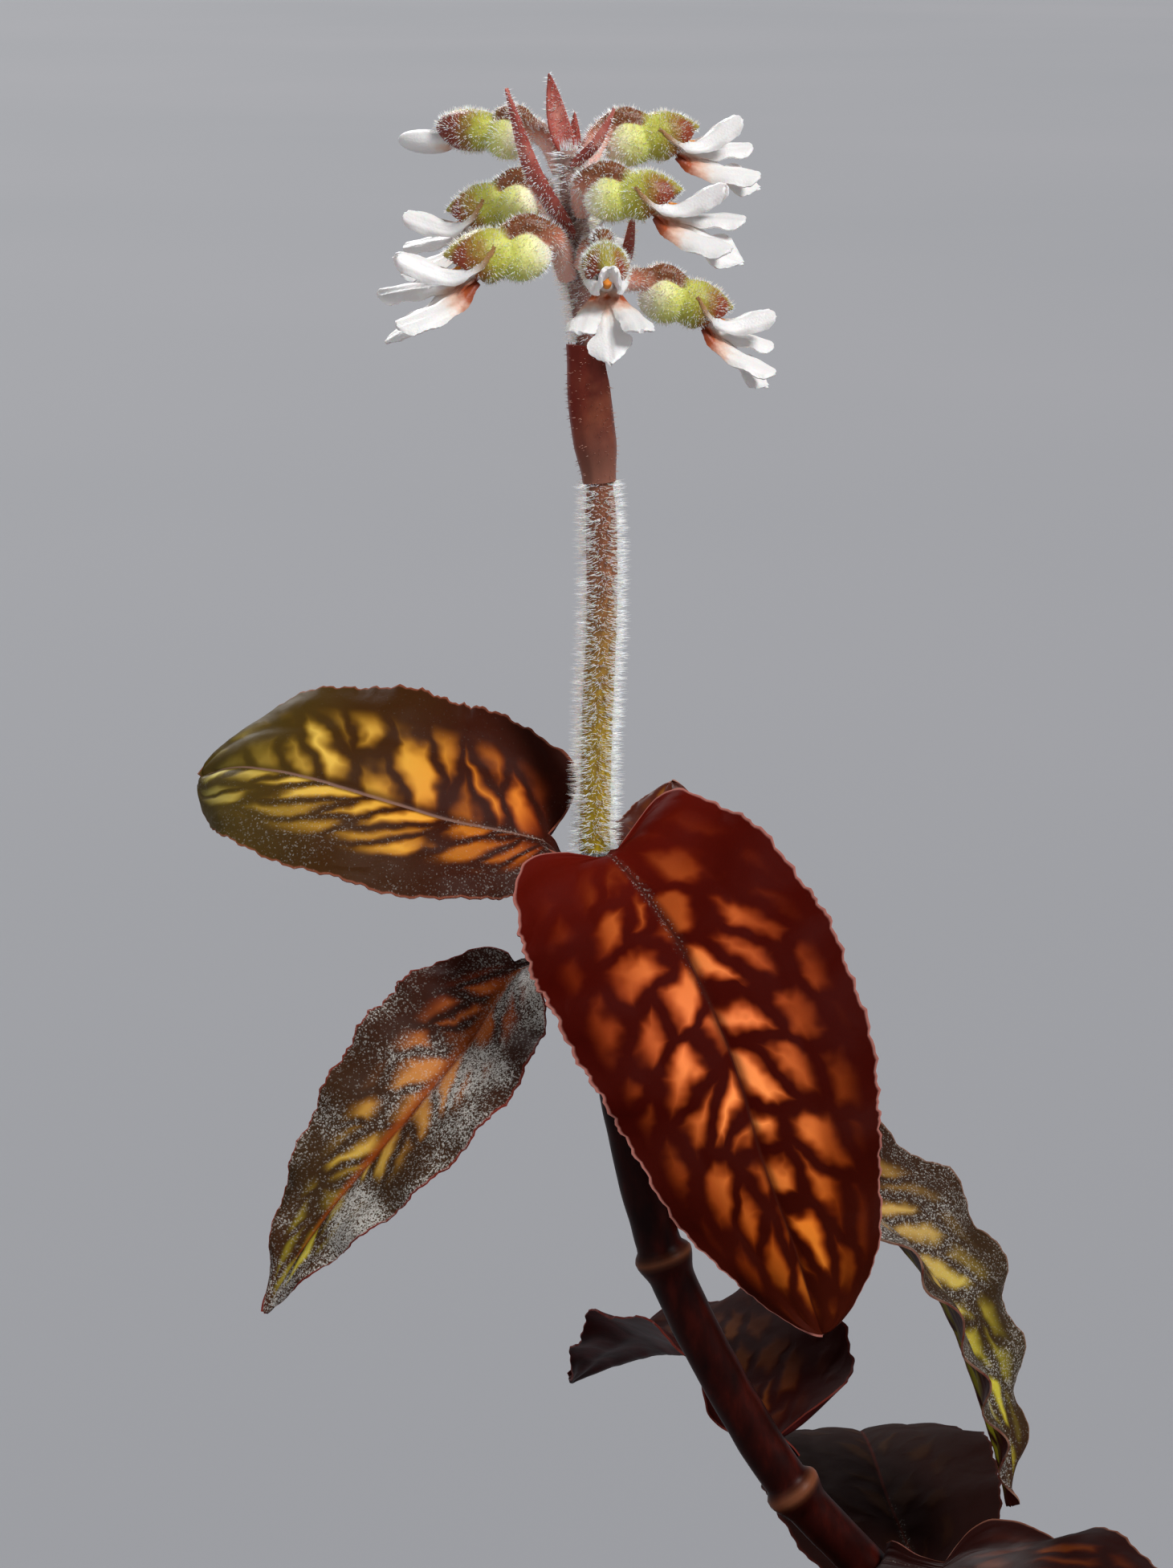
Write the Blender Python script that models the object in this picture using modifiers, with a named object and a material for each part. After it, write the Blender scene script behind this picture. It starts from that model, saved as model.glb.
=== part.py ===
"""A jewel orchid in flower, standing in its nursery pot.

The origin is the centre of the pot's underside. +X is the viewer's right, +Y points away from the viewer and
+Z is up. Dimensions are written in millimetres and turned to metres where a mesh or a curve is made.
"""

import math
from dataclasses import dataclass

import bmesh
import bpy
import numpy as np
from mathutils import Matrix, Vector, noise

for leftover in list(bpy.data.objects):
    bpy.data.objects.remove(leftover, do_unlink=True)

MM = 0.001
CLEARANCE = 0.3
SMALLEST_EDGE = 0.02

POT_HEIGHT = 78.0
POT_TOP_RADIUS = 45.0
POT_FOOT_RADIUS = 32.0
POT_WALL = 1.8
POT_FLOOR = 2.2
POT_RIM_HEIGHT = 8.0
POT_RIM_WIDTH = 2.4
POT_SIDES = 32
DRAIN_HOLES = 6
DRAIN_RADIUS = 3.0
DRAIN_CIRCLE = 21.0

SOIL_BELOW_RIM = 5.5
SOIL_RELIEF = 1.5
SOIL_CHUNK = 6.0

STEM_RADIUS = 2.0
NODE_RADIUS = 2.6
NODE_RISE = 1.4
CLASP_HEIGHT = 1.6
CLASP_ANGLE = 42.0
CLASP_RADIUS = STEM_RADIUS + CLEARANCE + 0.55
PETIOLE_CURL = 40.0
STEM_BURIED = 16.0
STEM_ENTRY = (8.0, 2.0, 72.0)
STEM_LEAN = (3.5, 0.0, -10.0)
# The stem's axis above the soil. A point with a name is a node, where a leaf grows or grew.
STEM_ROUTE = [
    ("scar", (0.2, 2.0, 89.0)),
    ("low", (-8.2, 1.4, 101.0)),
    ("bend", (-16.8, 0.0, 111.2)),
    ("", (-23.0, 0.0, 121.4)),
    ("middle", (-28.2, 0.0, 132.6)),
    ("", (-31.2, 0.0, 144.0)),
    ("third", (-33.0, 0.0, 155.4)),
    ("fourth", (-33.6, 0.0, 160.6)),
    ("fifth", (-34.0, 0.0, 164.8)),
    ("", (-34.3, 0.0, 168.6)),
]

STALK_RADIUS = 1.33
STALK_PATH = [
    (-34.3, 0.0, 169.2),
    (-34.1, 0.0, 180.0),
    (-33.7, 0.0, 190.8),
    (-33.9, 0.0, 201.0),
    (-34.7, 0.0, 208.0),
    (-34.8, 0.0, 213.0),
    (-35.8, 0.0, 221.0),
    (-36.5, 0.0, 229.0),
]
# How thick the stalk is along its length, as fractions of the length and of its radius.
STALK_TAPER = [(0.0, 1.0), (0.49, 1.0), (0.53, 0.84), (0.76, 0.84), (0.86, 1.0), (1.0, 0.6)]


@dataclass
class Blade:
    """One leaf-like piece: a strip along a spine, with an outline, a cross-section and a thickness.

    Lengths are in millimetres and angles in degrees. Pairs hold the value at the blade's root and at its tip.
    """

    spine: list
    facing: list
    half_width: tuple
    fullness: tuple = (0.5, 0.8)
    left_fullness: tuple = ()
    fold: tuple = (0.0, 0.0)
    curl: tuple = (0.0, 0.0)
    lobe: float = 0.0
    wave: float = 0.0
    waves: float = 3.0
    teeth: int = 0
    tooth: float = 0.0
    thickness: float = 0.7
    rows: int = 8
    columns: int = 2
    # A leaf's stalk: the stem node that it grows from, its length, half-width and how many rows it takes.
    node: str = ""
    petiole: float = 0.0
    petiole_half_width: float = 1.2
    petiole_rows: int = 0
    petiole_right: tuple = (1.0, 0.0, 0.0)


def smooth_path(points, samples=240):
    """A dense Catmull-Rom curve through the points, and its arc length at each sample."""
    knots = np.array(points, float)
    ends = np.vstack([2 * knots[0] - knots[1], knots, 2 * knots[-1] - knots[-2]])
    steps = np.sqrt(np.linalg.norm(np.diff(ends, axis=0), axis=1))
    times = np.concatenate([[0.0], np.cumsum(steps)])
    path = []
    for t in np.linspace(times[1], times[-2] - 1e-9, samples):
        i = int(np.searchsorted(times, t, side="right")) - 1
        t0, t1, t2, t3 = times[i - 1 : i + 3]
        p0, p1, p2, p3 = ends[i - 1 : i + 3]
        a1 = (t1 - t) / (t1 - t0) * p0 + (t - t0) / (t1 - t0) * p1
        a2 = (t2 - t) / (t2 - t1) * p1 + (t - t1) / (t2 - t1) * p2
        a3 = (t3 - t) / (t3 - t2) * p2 + (t - t2) / (t3 - t2) * p3
        b1 = (t2 - t) / (t2 - t0) * a1 + (t - t0) / (t2 - t0) * a2
        b2 = (t3 - t) / (t3 - t1) * a2 + (t - t1) / (t3 - t1) * a3
        path.append((t2 - t) / (t2 - t1) * b1 + (t - t1) / (t2 - t1) * b2)
    path = np.array(path)
    length = np.concatenate([[0.0], np.cumsum(np.linalg.norm(np.diff(path, axis=0), axis=1))])
    return path, length


def point_on(path, length, distance):
    return np.array([np.interp(distance, length, path[:, axis]) for axis in range(3)])


def unit(vector):
    return np.array(vector, float) / np.linalg.norm(vector)


def direction_on(path, length, distance):
    near, far = max(distance - 0.6, 0.0), min(distance + 0.6, length[-1])
    return unit(point_on(path, length, far) - point_on(path, length, near))


def smoothstep(low, high, value):
    t = min(max((value - low) / (high - low), 0.0), 1.0)
    return t * t * (3 - 2 * t)


def across_section(width, fold, curl, share):
    """Sideways reach and rise of a point at a share of the half-width, on a folded and curled section."""
    fold, curl = math.radians(fold), math.radians(curl)
    if abs(curl) < 0.02:
        return width * share * math.cos(fold), width * share * math.sin(fold)
    bent = fold + curl * share
    return (
        width * (math.sin(bent) - math.sin(fold)) / curl,
        width * (math.cos(fold) - math.cos(bent)) / curl,
    )


def outline(blade, t, across):
    """Half-width share of a blade at t, from 0 at its base to 1 at its tip, on one side of its midrib."""
    root, tip = blade.left_fullness if blade.left_fullness and across < 0 else blade.fullness
    widest = root / (root + tip)
    return (t / widest) ** root * ((1 - t) / (1 - widest)) ** tip if 0 < t < 1 else 0.0


def petiole_section(blade, path, length, s):
    """Centre, forward, half-width and curl of a leaf's stalk at s, from 0 at the stem to 1 at the blade."""
    clasp = 1 - smoothstep(0.2, 0.7, s)
    clasped_half = CLASP_RADIUS * math.radians(CLASP_ANGLE)
    half = blade.petiole_half_width + clasp * (clasped_half - blade.petiole_half_width)
    curl = CLASP_ANGLE * clasp + PETIOLE_CURL * (1 - clasp)
    distance = blade.petiole * s
    return point_on(path, length, distance), direction_on(path, length, distance), half, curl


def blade_section(blade, path, length, t, across):
    """Centre, forward, half-width, fold, curl and lift of a blade at t, for one side of its midrib."""
    side = abs(across)
    blade_length = length[-1] - blade.petiole
    swept = blade.lobe * math.sqrt(t) * (1 - t) ** 2 / 0.286
    distance = blade.petiole + t * blade_length - swept * side
    held = max(distance, blade.petiole)
    forward = direction_on(path, length, held)
    centre = point_on(path, length, held) + forward * (distance - held)
    half = blade.half_width[0 if across > 0 else 1] * outline(blade, t, across)
    half *= 1 - blade.tooth * (0.5 + 0.5 * math.cos(2 * math.pi * blade.teeth * t)) * side**6
    fold = blade.fold[0] + (blade.fold[1] - blade.fold[0]) * t
    curl = blade.curl[0] + (blade.curl[1] - blade.curl[0]) * t
    if blade.petiole_rows:
        settled = smoothstep(0.0, 0.15, t)
        half = max(half, blade.petiole_half_width * (1 - settled))
        fold, curl = fold * settled, curl * settled + PETIOLE_CURL * (1 - settled)
    lift = blade.wave * side**2 * math.sin(2 * math.pi * (blade.waves * t + 0.25 * (across > 0)))
    return centre, forward, half, fold, curl, lift


def blade_point(blade, path, length, along, across):
    """The point of a blade's middle surface at along (0 root to 1 tip) and across (-1 left to 1 right)."""
    stalk_share = blade.petiole_rows / blade.rows
    t = max(along - stalk_share, 0.0) / (1 - stalk_share)
    facing = unit(blade.facing[0]) * (1 - t) + unit(blade.facing[1]) * t
    if along < stalk_share:
        s = along / stalk_share
        centre, forward, half, curl = petiole_section(blade, path, length, s)
        fold = lift = 0.0
        turned = 0.5 * smoothstep(0.6, 1.0, s)
    else:
        t = 0.5 * t + 0.5 * (1 - math.cos(math.pi * t)) / 2
        centre, forward, half, fold, curl, lift = blade_section(blade, path, length, t, across)
        turned = 0.5 + 0.5 * smoothstep(0.0, 0.15, t) if blade.petiole_rows else 1.0
    right = unit(np.cross(forward, facing)) * turned + np.array(blade.petiole_right) * (1 - turned)
    right = unit(right - forward * np.dot(right, forward))
    up = np.cross(right, forward)
    reach, rise = across_section(half, fold, curl, abs(across))
    return centre + right * math.copysign(reach, across) + up * (rise + lift)


def blade_mesh(blade, path, length):
    """The blade's middle surface, split into triangles, so that both faces of its thickness match."""
    bm = bmesh.new()
    bmesh.ops.create_grid(bm, x_segments=blade.rows, y_segments=blade.columns, size=1.0)
    for vert in bm.verts:
        along, across = (vert.co.x + 1) / 2, -vert.co.y
        vert.co = Vector(blade_point(blade, path, length, along, across)) * MM
    bmesh.ops.remove_doubles(bm, verts=bm.verts, dist=SMALLEST_EDGE * MM)
    bmesh.ops.triangulate(bm, faces=bm.faces)
    mesh = bpy.data.meshes.new("blade")
    bm.to_mesh(mesh)
    bm.free()
    return mesh


def linear(channel):
    return channel / 12.92 if channel <= 0.04045 else ((channel + 0.055) / 1.055) ** 2.4


def finish(name, colour, roughness, metallic=0.0):
    """A material from an sRGB hex colour."""
    material = bpy.data.materials.new(name)
    material.use_nodes = True
    shader = material.node_tree.nodes["Principled BSDF"]
    rgb = [linear(int(colour[i : i + 2], 16) / 255) for i in (0, 2, 4)]
    shader.inputs["Base Color"].default_value = (*rgb, 1.0)
    shader.inputs["Roughness"].default_value = roughness
    shader.inputs["Metallic"].default_value = metallic
    return material


parts = bpy.data.collections.new("jewel_orchid")
cutters = bpy.data.collections.new("cutters")
bpy.context.scene.collection.children.link(parts)
bpy.context.scene.collection.children.link(cutters)


def place(name, mesh, material, collection=parts):
    thing = bpy.data.objects.new(name, mesh)
    mesh.materials.append(material)
    collection.objects.link(thing)
    return thing


def evaluated_mesh(thing):
    """A copy of the object's mesh as its modifiers leave it, with loose caps welded."""
    bpy.context.view_layer.update()
    depsgraph = bpy.context.evaluated_depsgraph_get()
    mesh = bpy.data.meshes.new_from_object(thing.evaluated_get(depsgraph))
    bm = bmesh.new()
    bm.from_mesh(mesh)
    bmesh.ops.remove_doubles(bm, verts=bm.verts, dist=0.001 * MM)
    bm.to_mesh(mesh)
    bm.free()
    return mesh


def made_solid(thing):
    """Turns a curve or an object with modifiers into a plain mesh object of the same name."""
    name, matrix, collection = thing.name, thing.matrix_world.copy(), thing.users_collection[0]
    mesh = evaluated_mesh(thing)
    bpy.data.objects.remove(thing, do_unlink=True)
    solid = bpy.data.objects.new(name, mesh)
    solid.matrix_world = matrix
    collection.objects.link(solid)
    return solid


def fuse(base, extras):
    """Joins the extra solids into the base with one Boolean union, and removes them."""
    gathered = bpy.data.collections.new("gathered")
    bpy.context.scene.collection.children.link(gathered)
    for extra in extras:
        for holder in list(extra.users_collection):
            holder.objects.unlink(extra)
        gathered.objects.link(extra)
    union = base.modifiers.new("union", "BOOLEAN")
    union.operation = "UNION"
    union.operand_type = "COLLECTION"
    union.collection = gathered
    union.solver = "EXACT"
    material = base.data.materials[0]
    base = made_solid(base)
    base.data.materials.clear()
    base.data.materials.append(material)
    for extra in list(gathered.objects):
        bpy.data.objects.remove(extra, do_unlink=True)
    bpy.data.collections.remove(gathered)
    return base


def carve(base, cutter):
    """Cuts the cutter's shape out of the base, and removes it."""
    cut = base.modifiers.new("cut", "BOOLEAN")
    cut.operation = "DIFFERENCE"
    cut.object = cutter
    cut.solver = "EXACT"
    material = base.data.materials[0]
    base = made_solid(base)
    base.data.materials.clear()
    base.data.materials.append(material)
    bpy.data.objects.remove(cutter, do_unlink=True)
    return base


def tube(name, points, radii, material, bevel_resolution=2, collection=parts):
    """A solid rod along the points, as thick at each as its radius says."""
    curve = bpy.data.curves.new(name, "CURVE")
    curve.dimensions = "3D"
    curve.bevel_depth = MM
    curve.bevel_resolution = bevel_resolution
    curve.use_fill_caps = True
    spline = curve.splines.new("POLY")
    spline.points.add(len(points) - 1)
    for knot, point, radius in zip(spline.points, points, radii):
        knot.co = (*(Vector(point) * MM), 1.0)
        knot.radius = radius
    spline.use_smooth = True
    curve.materials.append(material)
    thing = bpy.data.objects.new(name, curve)
    collection.objects.link(thing)
    return thing


def blade_object(name, blade, material, collection=parts):
    path, length = smooth_path(blade.spine)
    thing = place(name, blade_mesh(blade, path, length), material, collection)
    wall = thing.modifiers.new("thickness", "SOLIDIFY")
    wall.thickness = blade.thickness * MM
    wall.offset = 0.0
    wall.use_even_offset = False
    return thing


def leaf_object(name, blade, material):
    """A leaf whose stalk clasps the stem just above its node, then leads into the blade."""
    start = STEM_AXIS.after(blade.node, NODE_RISE)
    axis = unit(STEM_AXIS.after(blade.node, NODE_RISE + 1.0) - start)
    away = np.array(blade.spine[0]) - start
    away = unit(away - axis * np.dot(away, axis))
    root = [STEM_AXIS.after(blade.node, NODE_RISE + rise) + away * CLASP_RADIUS for rise in (0.0, CLASP_HEIGHT)]
    blade.petiole_right = tuple(np.cross(away, axis))
    blade.spine = root + blade.spine
    blade.petiole = measure_to(blade.spine, len(root))
    return blade_object(name, blade, material)


def measure_to(spine, index):
    """Arc length along the smooth spine to one of its own points."""
    path, length = smooth_path(spine)
    nearest = np.argmin(np.linalg.norm(path - np.array(spine[index]), axis=1))
    return float(length[nearest])


class Axis:
    """The stem's centre line, with its nodes' places along it."""

    def __init__(self):
        buried = np.array(STEM_ENTRY) + unit(STEM_LEAN) * STEM_BURIED
        points = [buried, STEM_ENTRY, *(point for name, point in STEM_ROUTE)]
        self.path, self.length = smooth_path(points)
        self.nodes = {name: measure_to(points, 2 + i) for i, (name, point) in enumerate(STEM_ROUTE) if name}

    def after(self, node, rise):
        return point_on(self.path, self.length, self.nodes[node] + rise)

    def radius(self, distance):
        """Plain between the nodes, and swollen just under each, with a sharper step above it."""
        swell = 0.0
        for at in self.nodes.values():
            below, above = (at - distance) / 2.2, (distance - at) / 0.9
            swell = max(swell, 1 - max(below, above, 0.0))
        return STEM_RADIUS + (NODE_RADIUS - STEM_RADIUS) * smoothstep(0.0, 1.0, swell)


STEM_AXIS = Axis()


def make_pot():
    """A tapered, injection-moulded pot: floor, wall, and a thicker rolled rim."""
    rim_start = POT_HEIGHT - POT_RIM_HEIGHT
    slope = (POT_TOP_RADIUS - POT_RIM_WIDTH - POT_FOOT_RADIUS) / rim_start
    wall_top = POT_FOOT_RADIUS + slope * rim_start
    inner_top = wall_top - POT_WALL + slope * POT_RIM_HEIGHT
    profile = [
        (0.0, POT_FLOOR),
        (POT_FOOT_RADIUS - POT_WALL, POT_FLOOR),
        (inner_top, POT_HEIGHT),
        (POT_TOP_RADIUS - 0.7, POT_HEIGHT),
        (POT_TOP_RADIUS, POT_HEIGHT - 0.8),
        (POT_TOP_RADIUS - 0.6, rim_start),
        (wall_top, rim_start - 0.4),
        (POT_FOOT_RADIUS + slope, 1.0),
        (POT_FOOT_RADIUS - 0.8, 0.0),
        (0.0, 0.0),
    ]
    pot = place("pot", turned_profile(profile), finish("moulded_plastic", "2B2A29", 0.5))
    turn(pot, POT_SIDES)
    for hole in range(DRAIN_HOLES):
        angle = 2 * math.pi * hole / DRAIN_HOLES
        mesh = bpy.data.meshes.new("drain_cutter")
        bm = bmesh.new()
        bmesh.ops.create_cone(
            bm, cap_ends=True, segments=10, radius1=DRAIN_RADIUS * MM, radius2=DRAIN_RADIUS * MM, depth=3 * POT_FLOOR * MM
        )
        bm.to_mesh(mesh)
        bm.free()
        cutter = bpy.data.objects.new(f"drain_cutter_{hole + 1}", mesh)
        cutter.location = Vector((math.cos(angle), math.sin(angle), 0.0)) * DRAIN_CIRCLE * MM
        cutter.hide_render = True
        cutter.display_type = "WIRE"
        cutters.objects.link(cutter)
    holes = pot.modifiers.new("drain_holes", "BOOLEAN")
    holes.operation = "DIFFERENCE"
    holes.operand_type = "COLLECTION"
    holes.collection = cutters
    holes.solver = "EXACT"
    return pot


def turned_profile(profile):
    """A chain of edges in the XZ plane, ready for a Screw modifier."""
    mesh = bpy.data.meshes.new("profile")
    bm = bmesh.new()
    verts = [bm.verts.new(Vector((x, 0.0, z)) * MM) for x, z in profile]
    for start, end in zip(verts, verts[1:]):
        bm.edges.new((start, end))
    bm.to_mesh(mesh)
    bm.free()
    return mesh


def turn(thing, steps):
    screw = thing.modifiers.new("turned", "SCREW")
    screw.steps = screw.render_steps = steps
    screw.use_merge_vertices = True
    screw.merge_threshold = 0.001 * MM
    return screw


def soil_height(x, y):
    """Relief of the potting mix: coarse chunks over a gentle mound."""
    chunks = noise.noise(Vector((x / SOIL_CHUNK, y / SOIL_CHUNK, 3.1)))
    fine = noise.noise(Vector((x / (0.4 * SOIL_CHUNK), y / (0.4 * SOIL_CHUNK), 8.7)))
    return SOIL_RELIEF * (chunks + 0.4 * fine)


def make_soil():
    """Potting mix that fills the pot, with a plain hole where the stem stands."""
    rim_start = POT_HEIGHT - POT_RIM_HEIGHT
    slope = (POT_TOP_RADIUS - POT_RIM_WIDTH - POT_FOOT_RADIUS) / rim_start
    bottom, top = POT_FLOOR + CLEARANCE, POT_HEIGHT - SOIL_BELOW_RIM
    inner = POT_FOOT_RADIUS - POT_WALL - 1.6 * CLEARANCE
    rings = 7
    outer = inner + slope * (top - POT_FLOOR)
    profile = [(outer * ring / rings, top) for ring in range(rings + 1)]
    profile += [(inner + slope * (bottom - POT_FLOOR), bottom), (0.0, bottom)]
    soil = place("soil", turned_profile(profile), finish("potting_mix", "3B2A1E", 0.95))
    turn(soil, POT_SIDES)
    soil = made_solid(soil)
    for vert in soil.data.vertices:
        x, y = vert.co.x / MM, vert.co.y / MM
        inside = 1 - smoothstep(0.86, 1.0, math.hypot(x, y) / outer)
        if vert.co.z / MM > top - 0.5:
            vert.co.z += soil_height(x, y) * inside * MM
    lean = unit(STEM_LEAN)
    hole_depth = STEM_BURIED + CLEARANCE
    mesh = bpy.data.meshes.new("stem_hole")
    bm = bmesh.new()
    reach = hole_depth + 12.0
    radius = (STEM_RADIUS + CLEARANCE + 0.1) * MM
    bmesh.ops.create_cone(bm, cap_ends=True, segments=14, radius1=radius, radius2=radius, depth=reach * MM)
    bm.to_mesh(mesh)
    bm.free()
    cutter = bpy.data.objects.new("stem_hole", mesh)
    middle = np.array(STEM_ENTRY) + lean * (hole_depth - reach / 2)
    turned = Vector(lean).to_track_quat("Z", "Y").to_matrix().to_4x4()
    cutter.matrix_world = Matrix.Translation(Vector(middle) * MM) @ turned
    cutter.hide_render = True
    cutter.display_type = "WIRE"
    cutters.objects.link(cutter)
    hole = soil.modifiers.new("stem_hole", "BOOLEAN")
    hole.operation = "DIFFERENCE"
    hole.object = cutter
    hole.solver = "EXACT"
    return soil


def make_stem():
    """The fleshy creeping stem, one tube from under the soil to its tip, swollen at its nodes."""
    length = STEM_AXIS.length[-1]
    stations = set(np.linspace(0.0, length, 34))
    for at in STEM_AXIS.nodes.values():
        stations.update((at - 2.1, at - 1.1, at, at + 0.9))
    stations = sorted(s for s in stations if 0 <= s <= length)
    kept = [stations[0]]
    for station in stations[1:]:
        if station - kept[-1] > 0.7:
            kept.append(station)
    points = [point_on(STEM_AXIS.path, STEM_AXIS.length, s) for s in kept]
    radii = [STEM_AXIS.radius(s) for s in kept]
    return tube("stem", points, radii, finish("fleshy_stem", "5A1A12", 0.45))


# Each bract: its root on the flower stalk, its middle, its tip, and its half-width.
BRACTS = [
    ((-36.2, -0.9, 221.6), (-39.5, -3.2, 227.0), (-41.6, -1.6, 234.2), 1.2),
    ((-36.5, 0.5, 228.2), (-37.4, 1.2, 231.0), (-38.1, 0.8, 235.3), 1.05),
    ((-36.2, -0.7, 227.6), (-34.2, -1.9, 229.6), (-32.7, -1.9, 232.6), 0.6),
    ((-34.9, -0.5, 217.4), (-31.9, -1.6, 219.6), (-31.1, -2.0, 224.2), 0.9),
    ((-36.1, 0.5, 227.4), (-36.0, 2.6, 229.2), (-36.0, 3.4, 232.0), 0.65),
]
BRACT_FULLNESS = (0.4, 0.9)


def make_stalk():
    """The hairy flower stalk, slimmer inside its sheath and towards its top, with its bracts grown on."""
    path, length = smooth_path(STALK_PATH)
    marks = np.linspace(0.0, 1.0, 22)
    shares, sizes = zip(*STALK_TAPER)
    points = [point_on(path, length, mark * length[-1]) for mark in marks]
    radii = [STALK_RADIUS * float(np.interp(mark, shares, sizes)) for mark in marks]
    material = finish("hairy_stalk", "8A5A4A", 0.6)
    stalk = made_solid(tube("flower_stalk", points, radii, material))
    bracts = []
    for root, middle, tip, half_width in BRACTS:
        lean = np.array(middle) - np.array(root)
        inward = (-lean[0], -math.copysign(3.0, lean[1]), 0.6)
        bract = Blade(
            spine=[root, middle, tip],
            facing=[inward, inward],
            half_width=(half_width, half_width),
            fullness=BRACT_FULLNESS,
            curl=(60, 30),
            thickness=0.6,
            rows=6,
            columns=2,
        )
        bracts.append(made_solid(blade_object("bract", bract, material)))
    return fuse(stalk, bracts)


SHEATH_INNER_RADIUS = 1.48
SHEATH_WALL = 0.6
SHEATH_SPAN = (201.2, 213.0)


def make_sheath():
    """A sheathing leaf round the middle of the flower stalk: closed below, and open on the right above."""
    path, length = smooth_path(STALK_PATH)
    heights = path[:, 2]
    bottom, top = (float(np.interp(z, heights, length)) for z in SHEATH_SPAN)
    radius = SHEATH_INNER_RADIUS + SHEATH_WALL / 2
    bm = bmesh.new()
    bmesh.ops.create_grid(bm, x_segments=7, y_segments=11, size=1.0)
    for vert in bm.verts:
        up_share, round_share = (vert.co.x + 1) / 2, vert.co.y
        distance = bottom + (top - bottom) * up_share
        centre, axis = point_on(path, length, distance), direction_on(path, length, distance)
        half_angle = math.radians(168 - 62 * smoothstep(0.35, 1.0, up_share))
        angle = math.radians(205) + round_share * half_angle
        flare = radius * (1 + 0.08 * up_share)
        across = unit(np.cross(axis, (0, -1, 0)))
        toward = np.cross(axis, across)
        spot = centre + flare * (math.cos(angle) * across + math.sin(angle) * toward)
        vert.co = Vector(spot) * MM
    bmesh.ops.triangulate(bm, faces=bm.faces)
    mesh = bpy.data.meshes.new("stalk_sheath")
    bm.to_mesh(mesh)
    bm.free()
    sheath = place("stalk_sheath", mesh, finish("hairy_sheath", "6E3A30", 0.6))
    wall = sheath.modifiers.new("thickness", "SOLIDIFY")
    wall.thickness = SHEATH_WALL * MM
    wall.offset = 0.0
    return sheath


@dataclass
class Flower:
    """One flower: where its sac lies, which way it faces, its size, where its ovary meets the stalk."""

    sac: tuple
    heading: tuple
    size: float
    root: tuple
    opened: bool = True


FLOWERS = {
    "flower_1": Flower((-41.6, 5.8, 229.7), (-0.85, 0.5, 0.03), 0.95, (-37.8, 1.6, 227.2), opened=False),
    "flower_2": Flower((-31.4, 3.4, 229.4), (1.0, 0.15, -0.06), 1.0, (-34.4, 1.4, 226.0)),
    "flower_3": Flower((-33.0, -4.6, 225.4), (0.96, -0.2, -0.15), 1.0, (-35.0, -1.9, 223.8)),
    "flower_4": Flower((-28.4, 5.4, 216.0), (0.87, 0.15, -0.38), 1.0, (-34.0, 1.7, 216.2)),
    "flower_5": Flower((-33.6, -6.3, 219.9), (0.05, -0.96, -0.2), 1.0, (-35.3, -2.8, 219.4)),
    "flower_6": Flower((-40.3, -4.6, 220.7), (-0.93, -0.22, -0.25), 1.1, (-37.2, -1.5, 218.4)),
    "flower_7": Flower((-40.8, 1.4, 224.4), (-0.92, 0.15, -0.36), 1.0, (-38.0, 0.7, 221.5)),
    "flower_8": Flower((-35.6, 7.0, 223.4), (0.1, 0.95, -0.2), 1.0, (-35.9, 2.3, 221.4)),
}
SAC_RADII = (2.2, 1.85, 1.95)
OVARY_RADIUS = 1.0
# Turns a ball's corners off the flower's mid-plane, where the hood and the ovary have theirs.
BALL_TURN = math.radians(11)
# In a flower's own frame: x forward from the sac's centre, y to the flower's left, z up.
OVARY_END = [(-2.1, 0.0, 1.1), (-0.8, 0.0, 2.1), (1.0, 0.0, 1.8)]
HOOD_CENTRE = (2.9, 0.0, 0.7)
HOOD_RADII = (2.8, 1.9, 2.1)
MOUTH_CENTRE = (5.6, 0.0, -0.5)
MOUTH_RADII = (2.8, 1.55, 1.75)
EAVE_SPINE = [(2.0, 0.0, 2.4), (3.4, 0.0, 2.55), (5.0, 0.0, 2.35), (6.4, 0.0, 1.9)]
EAVE_HALF_WIDTH = 1.9
THROAT_CENTRE = (4.1, 0.0, -0.3)
THROAT_RADII = (0.7, 0.75, 0.75)
PETAL_SPINE = [(4.1, 0.25, -0.2), (5.7, 0.6, -0.3), (7.5, 0.85, 0.5), (9.7, 0.7, 2.8)]
SEPAL_SPINE = [(4.1, 0.3, -0.5), (6.2, 1.4, -1.5), (8.9, 2.1, -1.5), (11.7, 2.5, -1.8)]
LIP_SPINE = [(4.1, 0.0, -0.5), (6.4, 0.0, -1.6), (9.0, 0.0, -2.6), (11.2, 0.0, -3.7)]
BUD_HOOD_CENTRE = (3.9, 0.0, 0.4)
BUD_HOOD_RADII = (3.6, 1.9, 1.9)
BUD_TIP_CENTRE = (8.6, 0.0, -0.9)
BUD_TIP_RADII = (3.0, 1.2, 1.1)


def flower_frame(flower):
    forward = Vector(flower.heading).normalized()
    left = Vector((0, 0, 1)).cross(forward).normalized()
    up = forward.cross(left)
    turned = Matrix((forward, left, up)).transposed().to_4x4()
    return Matrix.Translation(Vector(flower.sac) * MM) @ turned @ Matrix.Scale(flower.size, 4)


def ball(name, centre, radii, material, segments=8, rings=6):
    mesh = bpy.data.meshes.new(name)
    bm = bmesh.new()
    bmesh.ops.create_uvsphere(bm, u_segments=segments, v_segments=rings, radius=MM)
    bmesh.ops.rotate(bm, verts=bm.verts, matrix=Matrix.Rotation(BALL_TURN, 3, "Z"))
    for vert in bm.verts:
        vert.co = Vector([c * MM + r * x for c, r, x in zip(centre, radii, vert.co)])
    bm.to_mesh(mesh)
    bm.free()
    return place(name, mesh, material)


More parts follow.
